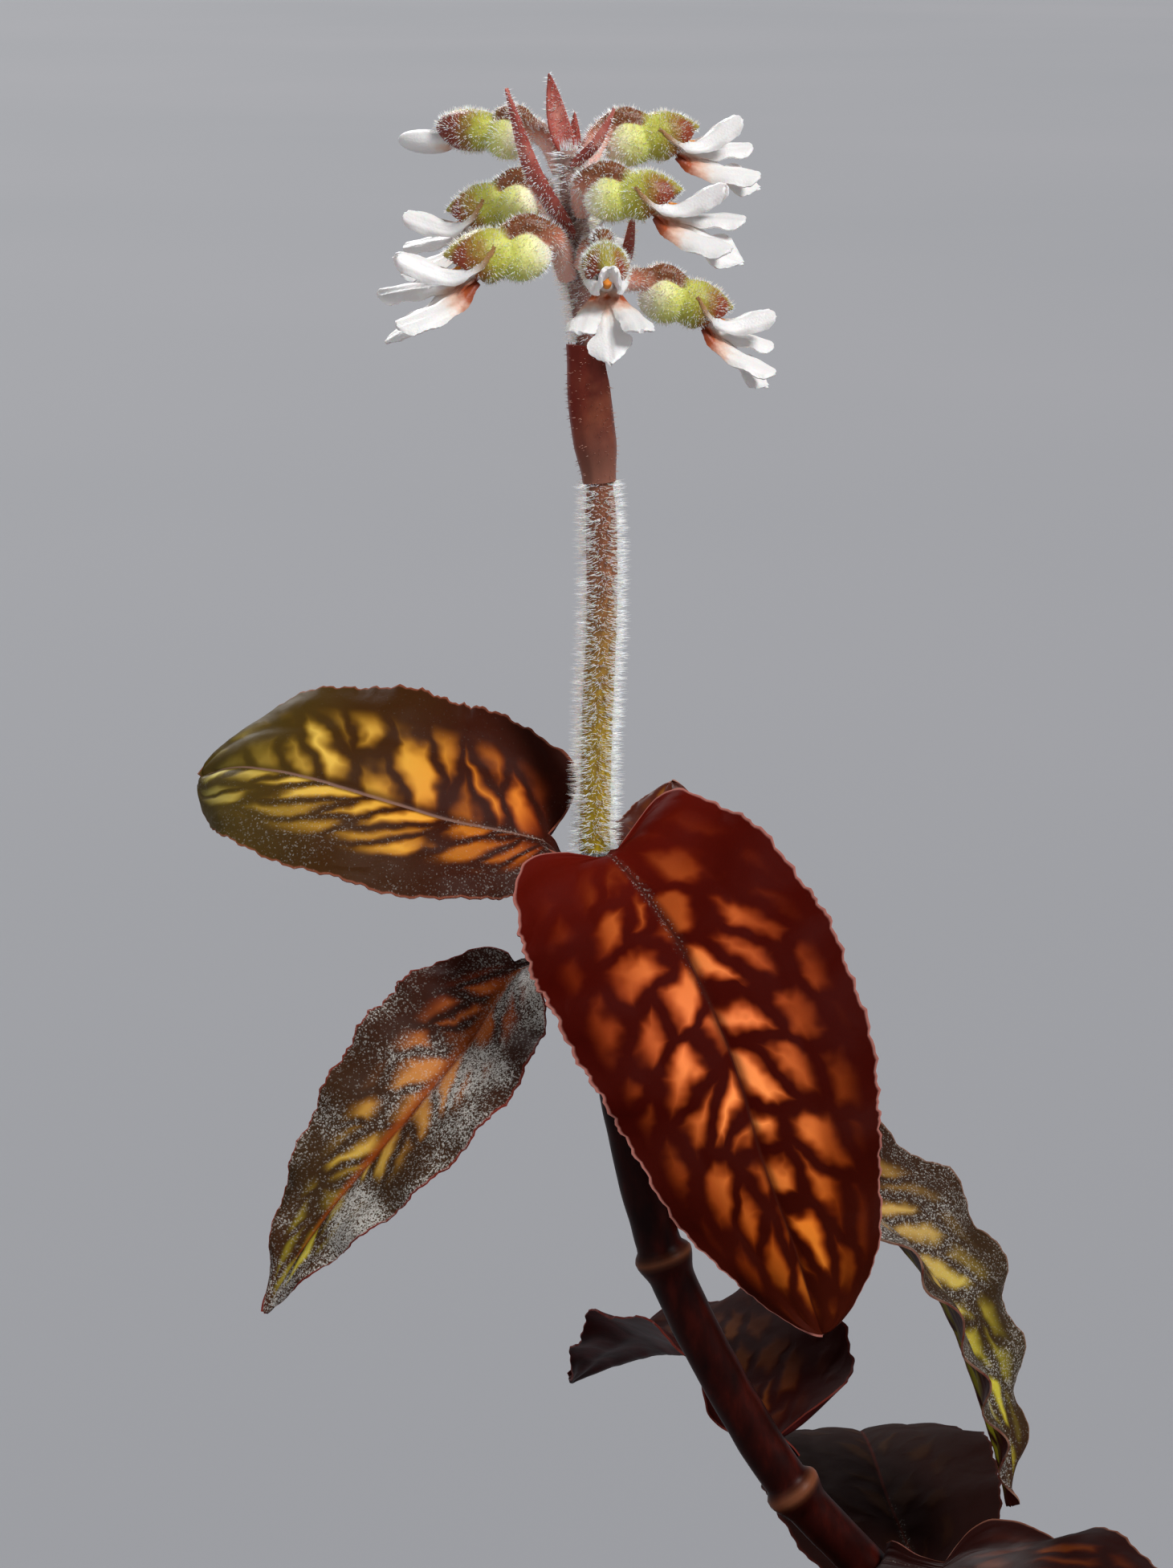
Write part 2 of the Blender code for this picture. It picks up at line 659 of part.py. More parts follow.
def ovary_tube(frame, root, material):
    """The flower's own stalk, which arches up from the stem and over the back of the sac."""
    start = np.array(frame.inverted() @ (Vector(root) * MM)) / MM
    rise = start * 0.55 + np.array(OVARY_END[0]) * 0.45 + np.array((-0.3, 0.0, 0.8))
    path, length = smooth_path([start, rise, *OVARY_END])
    shares = np.linspace(0, 1, 8)
    points = [point_on(path, length, share * length[-1]) for share in shares]
    radii = [OVARY_RADIUS * (0.8 + 0.2 * math.sin(math.pi * share)) for share in shares]
    return made_solid(tube("ovary", points, radii, material, bevel_resolution=1))


def flower_body(name, flower, material):
    """The green and brown parts: the arched ovary, the sac under it and the pointed hood."""
    frame = flower_frame(flower)
    sac = ball(f"{name}_body", (0, 0, 0), SAC_RADII, material)
    ovary = ovary_tube(frame, flower.root, material)
    if flower.opened:
        eave = Blade(
            spine=EAVE_SPINE,
            facing=[(0, 0, 1), (0, 0, 1)],
            half_width=(EAVE_HALF_WIDTH, EAVE_HALF_WIDTH),
            fullness=(0.25, 0.8),
            curl=(-70, -60),
            thickness=0.6,
            rows=4,
        )
        mouth = ball("mouth", MOUTH_CENTRE, MOUTH_RADII, material)
        hood = carve(ball("hood", HOOD_CENTRE, HOOD_RADII, material, 10, 6), mouth)
        body = fuse(sac, [hood, made_solid(blade_object("eave", eave, material)), ovary])
    else:
        body = fuse(sac, [ball("hood", BUD_HOOD_CENTRE, BUD_HOOD_RADII, material), ovary])
        socket = [radius + 1.3 * CLEARANCE for radius in BUD_TIP_RADII]
        body = carve(body, ball("socket", BUD_TIP_CENTRE, socket, material))
    body.matrix_world = frame
    return body


def mirrored(points):
    return [(x, -y, z) for x, y, z in points]


def flower_petals(name, flower, material):
    """The white parts: two petals, two side sepals and the lip, joined at the throat, or a bud's white tip."""
    frame = flower_frame(flower)
    if not flower.opened:
        tip = ball(f"{name}_petals", BUD_TIP_CENTRE, BUD_TIP_RADII, material, 8, 6)
        tip.matrix_world = frame
        return tip
    throat = ball(f"{name}_petals", THROAT_CENTRE, THROAT_RADII, material, 6, 4)
    blades = []
    for side in (1, -1):
        petal = PETAL_SPINE if side > 0 else mirrored(PETAL_SPINE)
        sepal = SEPAL_SPINE if side > 0 else mirrored(SEPAL_SPINE)
        blades.append(Blade(petal, [(0, 1.2 * side, 1)] * 2, (0.95, 0.95), (0.4, 0.5), curl=(-30, -30)))
        blades.append(Blade(sepal, [(0, 0.9 * side, 1)] * 2, (1.5, 1.5), (0.5, 0.3), curl=(-50, -40)))
    blades.append(Blade(LIP_SPINE, [(0, 0, 1)] * 2, (1.7, 1.7), (0.9, 0.35), curl=(30, -20)))
    solids = []
    for blade in blades:
        blade.thickness, blade.rows, blade.columns = 0.6, 5, 2
        solids.append(made_solid(blade_object("white_blade", blade, material)))
    petals = fuse(throat, solids)
    petals.matrix_world = frame
    return petals


def make_flowers():
    green = finish("flower_body", "A9B05A", 0.5)
    white = finish("white_petal", "F4F1EC", 0.4)
    for name, flower in FLOWERS.items():
        flower_body(name, flower, green)
        flower_petals(name, flower, white)


LEAVES = {
    "leaf_a": Blade(
        node="fifth",
        spine=[
            (-38.6, -0.4, 169.8),
            (-46.8, -2.2, 172.3),
            (-53.5, -3.0, 174.6),
            (-60.0, -2.6, 176.4),
            (-65.0, -0.6, 176.6),
            (-68.3, 2.4, 175.2),
        ],
        facing=[(0.12, -0.7, 0.7), (-0.3, -0.65, 0.7)],
        half_width=(12.6, 8.8),
        fullness=(0.36, 0.7),
        left_fullness=(0.5, 0.45),
        fold=(12, 4),
        curl=(-12, -30),
        lobe=3.0,
        wave=0.4,
        waves=4,
        teeth=16,
        tooth=0.05,
        rows=34,
        columns=6,
        petiole_rows=5,
    ),
    "leaf_b": Blade(
        node="fourth",
        spine=[
            (-33.2, -8.0, 170.4),
            (-29.2, -12.0, 167.0),
            (-25.7, -16.0, 161.8),
            (-22.5, -18.5, 154.5),
            (-20.5, -20.5, 147.7),
            (-17.8, -21.5, 140.4),
            (-15.5, -22.0, 133.0),
        ],
        facing=[(0.15, -0.75, 0.6), (0.1, -0.97, 0.2)],
        half_width=(12.8, 12.6),
        fullness=(0.35, 0.88),
        left_fullness=(0.35, 0.58),
        fold=(10, 4),
        curl=(-14, -16),
        lobe=4.0,
        wave=0.4,
        waves=4,
        teeth=18,
        tooth=0.03,
        rows=36,
        columns=6,
        petiole_rows=5,
    ),
    "leaf_c": Blade(
        node="third",
        spine=[
            (-40.4, -5.0, 159.8),
            (-45.0, -9.0, 154.4),
            (-50.5, -12.5, 148.4),
            (-55.5, -14.0, 142.6),
            (-58.5, -14.5, 138.6),
            (-62.2, -15.0, 132.6),
        ],
        facing=[(-0.37, -0.8, 0.5), (-0.4, -0.86, 0.3)],
        half_width=(8.4, 8.3),
        fullness=(0.42, 0.85),
        fold=(26, 30),
        curl=(-8, -20),
        wave=0.6,
        waves=4,
        teeth=16,
        tooth=0.04,
        rows=32,
        columns=6,
        petiole_rows=5,
    ),
    "leaf_d": Blade(
        node="middle",
        spine=[
            (-20.0, 6.0, 137.5),
            (-13.0, 8.0, 136.0),
            (-7.0, 8.5, 131.4),
            (-2.8, 8.5, 125.6),
            (0.3, 8.5, 118.0),
            (2.5, 8.0, 111.0),
            (3.6, 7.5, 106.5),
        ],
        facing=[(0.1, -0.26, 0.96), (0.88, -0.26, 0.4)],
        half_width=(9.8, 9.4),
        fullness=(0.5, 0.85),
        fold=(30, 28),
        curl=(-10, -10),
        wave=0.8,
        waves=6,
        teeth=15,
        tooth=0.05,
        rows=32,
        columns=6,
        petiole_rows=5,
    ),
    "leaf_e": Blade(
        node="bend",
        spine=[
            (-18.6, 5.0, 113.6),
            (-20.6, 11.0, 115.8),
            (-24.4, 18.0, 117.0),
            (-28.6, 25.0, 115.0),
            (-32.8, 30.0, 112.0),
            (-36.6, 33.0, 109.4),
        ],
        facing=[(0.35, -0.4, 0.85), (0.0, -0.1, 1.0)],
        half_width=(11.6, 10.5),
        fullness=(0.3, 0.8),
        left_fullness=(0.45, 0.8),
        fold=(34, 24),
        curl=(10, -10),
        wave=0.6,
        waves=4,
        teeth=13,
        tooth=0.05,
        rows=26,
        columns=6,
        petiole_rows=4,
    ),
    "leaf_f": Blade(
        node="low",
        spine=[
            (-4.0, -5.5, 105.2),
            (0.5, -12.0, 107.8),
            (7.0, -18.5, 106.8),
            (14.0, -24.0, 101.5),
            (19.5, -28.0, 93.5),
        ],
        facing=[(0.1, -0.25, 1), (0.5, -0.4, 0.7)],
        half_width=(11.5, 11.5),
        fullness=(0.45, 0.7),
        fold=(14, 8),
        curl=(-10, -20),
        wave=0.5,
        waves=4,
        teeth=13,
        tooth=0.04,
        rows=26,
        columns=6,
        petiole_rows=4,
    ),
    "leaf_g": Blade(
        node="scar",
        spine=[
            (-3.0, 9.0, 96.0),
            (-6.5, 18.0, 102.0),
            (-8.0, 28.0, 104.5),
            (-8.5, 38.0, 102.0),
            (-9.0, 45.0, 96.0),
        ],
        facing=[(-0.1, -0.2, 1), (0, 0.3, 1)],
        half_width=(11.5, 11.5),
        fullness=(0.45, 0.6),
        fold=(10, 6),
        curl=(-10, -20),
        wave=0.4,
        waves=4,
        rows=20,
        columns=4,
        petiole_rows=4,
    ),
    "leaf_h": Blade(
        node="fourth",
        spine=[
            (-30.6, 4.6, 167.4),
            (-28.8, 9.5, 167.0),
            (-27.8, 15.5, 167.4),
            (-27.2, 22.0, 170.6),
        ],
        facing=[(0, -0.3, 1), (0, -0.6, 0.8)],
        half_width=(5.0, 5.0),
        fullness=(0.5, 0.8),
        fold=(16, 10),
        curl=(8, 0),
        rows=14,
        columns=4,
        petiole_rows=4,
    ),
}


def make_leaves():
    material = finish("leaf", "4A2A1A", 0.4)
    return [leaf_object(name, blade, material) for name, blade in LEAVES.items()]


make_pot()
make_soil()
make_stem()
make_stalk()
make_sheath()
make_leaves()
make_flowers()
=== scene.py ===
"""A jewel orchid in flower in its nursery pot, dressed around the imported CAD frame.

Sizes are in millimetres in the row frame: the origin is the centre of the pot's underside, +X is the viewer's
right, +Y points away from the viewer and +Z is up. A mesh is turned to metres where its piece is finished.
"""

import math
import random
from dataclasses import dataclass

import bmesh
import bpy
import numpy as np
from mathutils import Matrix, Vector, noise


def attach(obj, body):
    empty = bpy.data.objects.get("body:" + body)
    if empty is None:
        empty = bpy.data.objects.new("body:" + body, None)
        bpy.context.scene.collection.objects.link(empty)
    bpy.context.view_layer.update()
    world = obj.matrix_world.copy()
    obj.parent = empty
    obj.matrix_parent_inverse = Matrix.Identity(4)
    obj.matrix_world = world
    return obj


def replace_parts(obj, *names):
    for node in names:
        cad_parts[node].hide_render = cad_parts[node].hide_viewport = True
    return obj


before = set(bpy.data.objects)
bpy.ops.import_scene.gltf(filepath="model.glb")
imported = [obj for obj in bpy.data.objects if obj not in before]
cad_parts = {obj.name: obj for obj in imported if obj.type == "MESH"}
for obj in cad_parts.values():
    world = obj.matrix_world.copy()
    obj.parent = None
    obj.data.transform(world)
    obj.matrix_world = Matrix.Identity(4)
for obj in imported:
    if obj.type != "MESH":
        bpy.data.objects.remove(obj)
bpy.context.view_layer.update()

# Pot: a nursery pot of dark polypropylene, injection-moulded in one shot and tapered so that it leaves its
# mould. The wall is thin, the rim is a thicker band to hold it by, and the floor has holes for water.

MM = 0.001
POT_HEIGHT = 78.0
POT_TOP_RADIUS = 45.0
POT_FOOT_RADIUS = 32.0
POT_WALL = 1.8
POT_FLOOR = 2.2
RIM_HEIGHT = 8.0
RIM_WIDTH = 2.4
POT_STEPS = 112
DRAIN_HOLES = 6
DRAIN_RADIUS = 3.0
DRAIN_CIRCLE = 21.0
DRAIN_DEPTH = 12.0


def linear(colour):
    """An sRGB hex colour as linear RGBA."""
    channels = [int(colour[i : i + 2], 16) / 255 for i in (0, 2, 4)]
    return (*(c / 12.92 if c <= 0.04045 else ((c + 0.055) / 1.055) ** 2.4 for c in channels), 1.0)


def plug(tree, value, socket):
    """Gives a socket a value, an sRGB hex colour, another socket, or a node's first output in use."""
    if isinstance(value, str):
        value = linear(value)
    if isinstance(value, bpy.types.Node):
        value = next(output for output in value.outputs if output.enabled)
    if isinstance(value, bpy.types.NodeSocket):
        tree.links.new(value, socket)
    else:
        socket.default_value = value


def add(material, kind, inputs=None, **settings):
    """Adds a shader node with its settings and links. Stops are a ramp's places and sRGB hex colours."""
    tree = material.node_tree
    node = tree.nodes.new("ShaderNode" + kind)
    for key, value in settings.items():
        if key == "stops":
            for stop in value[2:]:
                node.color_ramp.elements.new(1.0)
            for element, (position, colour) in zip(node.color_ramp.elements, value):
                element.position, element.color = position, linear(colour)
        else:
            setattr(node, key, value)
    for key, value in (inputs or {}).items():
        plug(tree, value, node.inputs[key])
    return node


def feed(material, **sockets):
    """Sets or links inputs of the material's Principled shader."""
    shader = material.node_tree.nodes["Principled BSDF"]
    for key, value in sockets.items():
        plug(material.node_tree, value, shader.inputs[key.replace("_", " ")])


def surface(name, **sockets):
    """A new material with its Principled shader's sockets set."""
    material = bpy.data.materials.new(name)
    material.use_nodes = True
    feed(material, **sockets)
    return material


def mottled(name, grain, stops, relief=(), **sockets):
    """A material coloured by a noise: scale, detail, roughness. Relief is a noise, a strength and a depth."""
    material = surface(name, **sockets)
    where = add(material, "TexCoord").outputs["Object"]
    keys = ("Scale", "Detail", "Roughness")
    mottle = add(material, "TexNoise", {"Vector": where, **dict(zip(keys, grain))})
    feed(material, Base_Color=add(material, "ValToRGB", {"Fac": mottle}, stops=stops))
    if relief:
        pores, strength, depth = relief
        height = add(material, "TexNoise", {"Vector": where, **dict(zip(keys, pores))})
        bump = add(material, "Bump", {"Height": height, "Strength": strength, "Distance": depth * MM})
        feed(material, Normal=bump)
    return material


def holding(bm, name="holding"):
    """The mesh as an object in the scene, to be worked on with modifiers or finished as a piece."""
    mesh = bpy.data.meshes.new(name)
    bm.to_mesh(mesh)
    bm.free()
    thing = bpy.data.objects.new(name, mesh)
    bpy.context.scene.collection.objects.link(thing)
    return thing


def drop(thing, into):
    """Moves an object's mesh into the bmesh, and removes the object."""
    mesh = thing.data
    into.from_mesh(mesh)
    bpy.data.objects.remove(thing)
    bpy.data.meshes.remove(mesh)


def evaluated(thing):
    """The object's mesh with its modifiers or its bevel applied."""
    bpy.context.view_layer.update()
    return bpy.data.meshes.new_from_object(thing.evaluated_get(bpy.context.evaluated_depsgraph_get()))


def applied(thing):
    """Turns the object's modifiers into its mesh."""
    mesh = evaluated(thing)
    thing.modifiers.clear()
    thing.data = mesh
    return thing


def carved(thing, cutter):
    """Cuts the cutter out of the object, and removes the cutter."""
    cut = thing.modifiers.new("cut", "BOOLEAN")
    cut.operation, cut.object, cut.solver = "DIFFERENCE", cutter, "EXACT"
    applied(thing)
    bpy.data.objects.remove(cutter)
    return thing


def piece(bm, name, materials, sharp=35.0):
    """Finishes a mesh made in millimetres as a piece of the plant, smooth but for its sharp edges."""
    bmesh.ops.scale(bm, vec=(MM, MM, MM), verts=bm.verts)
    for face in bm.faces:
        face.smooth = True
    for edge in bm.edges:
        edge.smooth = edge.calc_face_angle(0.0) < math.radians(sharp)
    thing = holding(bm, name)
    for material in materials:
        thing.data.materials.append(material)
    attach(thing, "root")
    return thing


def turned(profile, steps):
    """A closed profile of (radius, height) points, spun about the upright axis."""
    bm = bmesh.new()
    verts = [bm.verts.new((radius, 0.0, height)) for radius, height in profile]
    edges = [bm.edges.new(pair) for pair in zip(verts, verts[1:])]
    bmesh.ops.spin(
        bm, geom=verts + edges, cent=(0, 0, 0), axis=(0, 0, 1), angle=2 * math.pi, steps=steps, use_merge=True
    )
    bmesh.ops.remove_doubles(bm, verts=bm.verts, dist=0.005)
    bmesh.ops.recalc_face_normals(bm, faces=bm.faces)
    return bm


rim_start = POT_HEIGHT - RIM_HEIGHT
pot_slope = (POT_TOP_RADIUS - RIM_WIDTH - POT_FOOT_RADIUS) / rim_start
wall_top = POT_FOOT_RADIUS + pot_slope * rim_start
inner_top = wall_top - POT_WALL + pot_slope * RIM_HEIGHT
# The profile runs up the inside, over the rim and down the outside to the foot's ring.
bm = turned(
    [
        (0.0, POT_FLOOR), (POT_FOOT_RADIUS - POT_WALL - 1.0, POT_FLOOR),
        (POT_FOOT_RADIUS - POT_WALL, POT_FLOOR + 0.9), (inner_top - 0.3, POT_HEIGHT - 0.5),
        (inner_top + 0.3, POT_HEIGHT), (POT_TOP_RADIUS - 0.8, POT_HEIGHT),
        (POT_TOP_RADIUS - 0.2, POT_HEIGHT - 0.25), (POT_TOP_RADIUS, POT_HEIGHT - 0.9),
        (POT_TOP_RADIUS - 0.5, rim_start + 0.4), (POT_TOP_RADIUS - 1.0, rim_start),
        (wall_top + 0.3, rim_start), (wall_top, rim_start - 0.5), (POT_FOOT_RADIUS + pot_slope * 6, 6.0),
        (POT_FOOT_RADIUS + 0.1, 1.1), (POT_FOOT_RADIUS - 0.3, 0.3), (POT_FOOT_RADIUS - 1.0, 0.0),
        (POT_FOOT_RADIUS - 4.0, 0.0), (POT_FOOT_RADIUS - 4.6, 0.5), (0.0, 0.5),
    ],
    POT_STEPS,
)
# Dust dulls the plastic in patches. The mould's spark-eroded grain is about 0.1 mm, drawn at 0.4 mm to show.
plastic = mottled(
    "injection_moulded_polypropylene", (90.0, 6.0, 0.65),
    [(0.35, "232221"), (0.62, "312F2D"), (0.8, "4A443D")], ((2500.0, 2.0), 0.25, 0.05),
    Roughness=0.46, IOR=1.49,
)
pot = piece(bm, "nursery_pot", [plastic])
bm = bmesh.new()
for hole in range(DRAIN_HOLES):
    angle = 2 * math.pi * hole / DRAIN_HOLES
    spot = Vector((math.cos(angle), math.sin(angle), 0.0)) * DRAIN_CIRCLE
    bmesh.ops.create_cone(
        bm, cap_ends=True, segments=32, radius1=DRAIN_RADIUS * MM, radius2=DRAIN_RADIUS * MM,
        depth=DRAIN_DEPTH * MM, matrix=Matrix.Translation(spot * MM),
    )
carved(pot, holding(bm, "drill"))
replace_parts(pot, "pot")

# Potting mix: composted bark, peat and perlite, poured in loose and settled by watering. It fills the pot to
# just under the rim, and its surface is all chips and crumbs.

SOIL_TOP = POT_HEIGHT - 5.5
SOIL_RELIEF = 1.5
SOIL_CHUNK = 6.0
SOIL_RINGS = 44
SOIL_STEPS = 120
BARK_CHIPS = 620
PERLITE_GRAINS = 110
PEAT_FIBRE = (900.0, 8.0, 0.7)
STEM_ENTRY = Vector((8.0, 2.0, 72.0))
STEM_CLEARANCE = 4.5


def soil_height(x, y):
    """The settled surface's broad relief, the same as the solid's."""
    chunks = noise.noise(Vector((x / SOIL_CHUNK, y / SOIL_CHUNK, 3.1)))
    fine = noise.noise(Vector((x / (0.4 * SOIL_CHUNK), y / (0.4 * SOIL_CHUNK), 8.7)))
    return SOIL_RELIEF * (chunks + 0.4 * fine)


def smoothstep(low, high, value):
    """0 below low, 1 above high, and a soft step between them."""
    t = min(max((value - low) / (high - low), 0.0), 1.0)
    return t * t * (3 - 2 * t)


def gathered(count, make_one, batch):
    """Many small solids in one mesh, made in batches because an operator slows down as a mesh grows."""
    whole = bmesh.new()
    for first in range(0, count, batch):
        some = bmesh.new()
        for index in range(first, min(first + batch, count)):
            make_one(some)
        drop(holding(some), whole)
    return whole


soil_bottom = POT_FLOOR + 0.3
soil_foot = POT_FOOT_RADIUS - POT_WALL - 0.5
soil_edge = soil_foot + pot_slope * (SOIL_TOP - POT_FLOOR)
bm = turned(
    [(soil_edge * ring / SOIL_RINGS, SOIL_TOP) for ring in range(SOIL_RINGS + 1)]
    + [(soil_foot + pot_slope * (soil_bottom - POT_FLOOR), soil_bottom), (0.0, soil_bottom)],
    SOIL_STEPS,
)
for vert in bm.verts:
    if vert.co.z > SOIL_TOP - 0.5:
        inside = 1 - smoothstep(0.9, 1.0, math.hypot(vert.co.x, vert.co.y) / soil_edge)
        crumbs = 0.5 * noise.noise(vert.co * 1.3) + 0.3 * noise.noise(vert.co * 3.1)
        vert.co.z += (soil_height(vert.co.x, vert.co.y) + crumbs) * inside
peat = mottled(
    "damp_peat", PEAT_FIBRE, [(0.3, "17100B"), (0.5, "2E2017"), (0.68, "4A3626"), (0.8, "6B5136")],
    (PEAT_FIBRE, 0.9, 0.5), Roughness=0.95,
)
soil = piece(bm, "peat", [peat], sharp=60.0)
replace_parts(soil, "soil")

dice = random.Random(11)


def scattered(reach):
    """A place on the mix's surface, clear of the stem."""
    while True:
        radius, angle = reach * math.sqrt(dice.random()), 2 * math.pi * dice.random()
        x, y = radius * math.cos(angle), radius * math.sin(angle)
        if math.hypot(x - STEM_ENTRY.x, y - STEM_ENTRY.y) > STEM_CLEARANCE:
            return Vector((x, y, SOIL_TOP + soil_height(x, y)))


def roughened(bm, place, rough, **size):
    """A small stone-like lump: a coarse sphere whose corners are moved at random."""
    made = bmesh.ops.create_icosphere(bm, subdivisions=1, matrix=place, **size)
    for vert in made["verts"]:
        vert.co += Vector([dice.uniform(-rough, rough) for axis in range(3)])


def chip(bm):
    """A flat flake of bark, lying nearly level."""
    size = Vector((dice.uniform(1.2, 3.4), dice.uniform(0.8, 1.9), dice.uniform(0.4, 0.9)))
    tilt = Matrix.Rotation(dice.uniform(-0.5, 0.5), 4, "X") @ Matrix.Rotation(dice.uniform(-0.5, 0.5), 4, "Y")
    spin = Matrix.Rotation(dice.uniform(0, 2 * math.pi), 4, "Z")
    place = Matrix.Translation(scattered(soil_edge - 3.2) + Vector((0, 0, 0.25)))
    roughened(bm, place @ tilt @ spin @ Matrix.Diagonal((*size, 1.0)), 0.2, radius=1.0)


def perlite_grain(bm):
    """A round grain of perlite."""
    radius = dice.uniform(0.5, 1.2)
    place = Matrix.Translation(scattered(soil_edge - 2.5) + Vector((0, 0, 0.4)))
    roughened(bm, place, 0.15, radius=radius)


bark = mottled(
    "composted_bark", (260.0, 5.0, 0.6),
    [(0.3, "2A1A10"), (0.48, "4E3320"), (0.62, "7A5535"), (0.78, "946C48")], Roughness=0.85,
)
piece(gathered(BARK_CHIPS, chip, batch=120), "bark_chips", [bark], sharp=20.0)
perlite = mottled(
    "expanded_perlite", (1500.0, 4.0), [(0.3, "A79F90"), (0.6, "D9D4C8")],
    Roughness=0.9, Subsurface_Weight=0.2, Subsurface_Scale=0.5 * MM,
)
piece(gathered(PERLITE_GRAINS, perlite_grain, batch=110), "perlite", [perlite], sharp=30.0)

# Stem: one fleshy, creeping stem, red-brown and faintly translucent, which rises from the mix and leans to
# the left. It is swollen at its nodes, where each leaf's base left a raised ring.

STEM_RADIUS = 2.0
NODE_RADIUS = 2.6
STEM_LEAN = Vector((3.5, 0.0, -10.0)).normalized()
STEM_BURIED = 16.0
STEM_ROUTE = {
    "scar": (0.2, 2.0, 89.0),
    "low": (-8.2, 1.4, 101.0),
    "bend": (-16.8, 0.0, 111.2),
    "a": (-23.0, 0.0, 121.4),
    "middle": (-28.2, 0.0, 132.6),
    "b": (-31.2, 0.0, 144.0),
    "third": (-33.0, 0.0, 155.4),
    "fourth": (-33.6, 0.0, 160.6),
    "fifth": (-34.0, 0.0, 164.8),
    "c": (-34.3, 0.0, 168.6),
}


class Path:
    """A smooth curve through the points, read by arc length in millimetres."""

    def __init__(self, points):
        knots = np.array([tuple(point) for point in points], float)
        ends = np.vstack([2 * knots[0] - knots[1], knots, 2 * knots[-1] - knots[-2]])
        times = np.concatenate([[0.0], np.cumsum(np.sqrt(np.linalg.norm(np.diff(ends, axis=0), axis=1)))])
        spots = []
        for t in np.linspace(times[1], times[-2] - 1e-9, 240):
            i = int(np.searchsorted(times, t, side="right")) - 1
            t0, t1, t2, t3 = times[i - 1 : i + 3]
            p0, p1, p2, p3 = ends[i - 1 : i + 3]
            a1 = (t1 - t) / (t1 - t0) * p0 + (t - t0) / (t1 - t0) * p1
            a2 = (t2 - t) / (t2 - t1) * p1 + (t - t1) / (t2 - t1) * p2
            a3 = (t3 - t) / (t3 - t2) * p2 + (t - t2) / (t3 - t2) * p3
            b1 = (t2 - t) / (t2 - t0) * a1 + (t - t0) / (t2 - t0) * a2
            b2 = (t3 - t) / (t3 - t1) * a2 + (t - t1) / (t3 - t1) * a3
            spots.append((t2 - t) / (t2 - t1) * b1 + (t - t1) / (t2 - t1) * b2)
        self.spots = np.array(spots)
        self.marks = np.concatenate([[0.0], np.cumsum(np.linalg.norm(np.diff(self.spots, axis=0), axis=1))])
        self.length = float(self.marks[-1])

    def at(self, distance):
        return Vector([np.interp(distance, self.marks, self.spots[:, axis]) for axis in range(3)])

    def along(self, distance):
        near, far = max(distance - 0.6, 0.0), min(distance + 0.6, self.length)
        return (self.at(far) - self.at(near)).normalized()

    def mark(self, point):
        return float(self.marks[np.argmin(np.linalg.norm(self.spots - np.array(tuple(point)), axis=1))])


def rod(points, radii, sides=6):
    """A round rod along the points, closed at both ends, as a mesh in millimetres."""
    curve = bpy.data.curves.new("rod", "CURVE")
    curve.dimensions = "3D"
    curve.bevel_depth = 1.0
    curve.bevel_resolution = sides
    curve.use_fill_caps = True
    spline = curve.splines.new("POLY")
    spline.points.add(len(points) - 1)
    for knot, point, radius in zip(spline.points, points, radii):
        knot.co = (*point, 1.0)
        knot.radius = radius
    thing = bpy.data.objects.new("rod", curve)
    bpy.context.scene.collection.objects.link(thing)
    mesh = evaluated(thing)
    bm = bmesh.new()
    bm.from_mesh(mesh)
    bmesh.ops.remove_doubles(bm, verts=bm.verts, dist=0.001)
    bpy.data.objects.remove(thing)
    bpy.data.curves.remove(curve)
    bpy.data.meshes.remove(mesh)
    return bm


stem_path = Path([STEM_ENTRY + STEM_LEAN * STEM_BURIED, STEM_ENTRY, *STEM_ROUTE.values()])
stem_nodes = {name: stem_path.mark(spot) for name, spot in STEM_ROUTE.items() if len(name) > 1}


def stem_radius(distance):
    """Plain between nodes; at a node a slow swelling below, a ring, and a quick fall above."""
    swell = 0.0
    for at in stem_nodes.values():
        below, above = (at - distance) / 2.4, (distance - at) / 1.0
        swell = max(swell, smoothstep(0.0, 1.0, 1 - max(below, above, 0.0)))
    return STEM_RADIUS + (NODE_RADIUS - STEM_RADIUS) * swell


steps = int(stem_path.length / 0.4)
marks = [stem_path.length * step / steps for step in range(steps + 1)]
bm = rod([stem_path.at(mark) for mark in marks], [stem_radius(mark) for mark in marks], sides=10)
collar = bm.verts.layers.float.new("collar")
for vert in bm.verts:
    mark = stem_path.mark(vert.co)
    vert[collar] = max(math.exp(-(((mark - at) / 0.45) ** 2)) for at in stem_nodes.values())
    vert.co += vert.normal * 0.10 * noise.noise(vert.co * 0.35)
fleshy = surface(
    "fleshy_stem_skin", Roughness=0.42, IOR=1.4, Specular_IOR_Level=0.1, Subsurface_Weight=0.12,
    Subsurface_Scale=0.8 * MM,
)
where = add(fleshy, "TexCoord").outputs["Object"]
turn = {"Vector": where, "Rotation": (0.0, 0.5, 0.0), "Scale": (700.0, 700.0, 260.0)}
stretched = add(fleshy, "Mapping", turn)
streaks = add(fleshy, "TexNoise", {"Vector": stretched, "Scale": 1.0, "Detail": 4.0})
skin = add(fleshy, "ValToRGB", {"Fac": streaks}, stops=[(0.3, "160201"), (0.55, "260502"), (0.75, "3A0C05")])
ring = add(fleshy, "Attribute", attribute_name="collar").outputs["Fac"]
ring = add(fleshy, "Math", {0: ring, 1: 0.5}, operation="MULTIPLY")
skin = add(fleshy, "Mix", {0: ring, 6: skin, 7: "8A5236"}, data_type="RGBA")
bump = add(fleshy, "Bump", {"Height": streaks, "Strength": 0.2, "Distance": 0.12 * MM})
feed(fleshy, Base_Color=skin, Normal=bump)
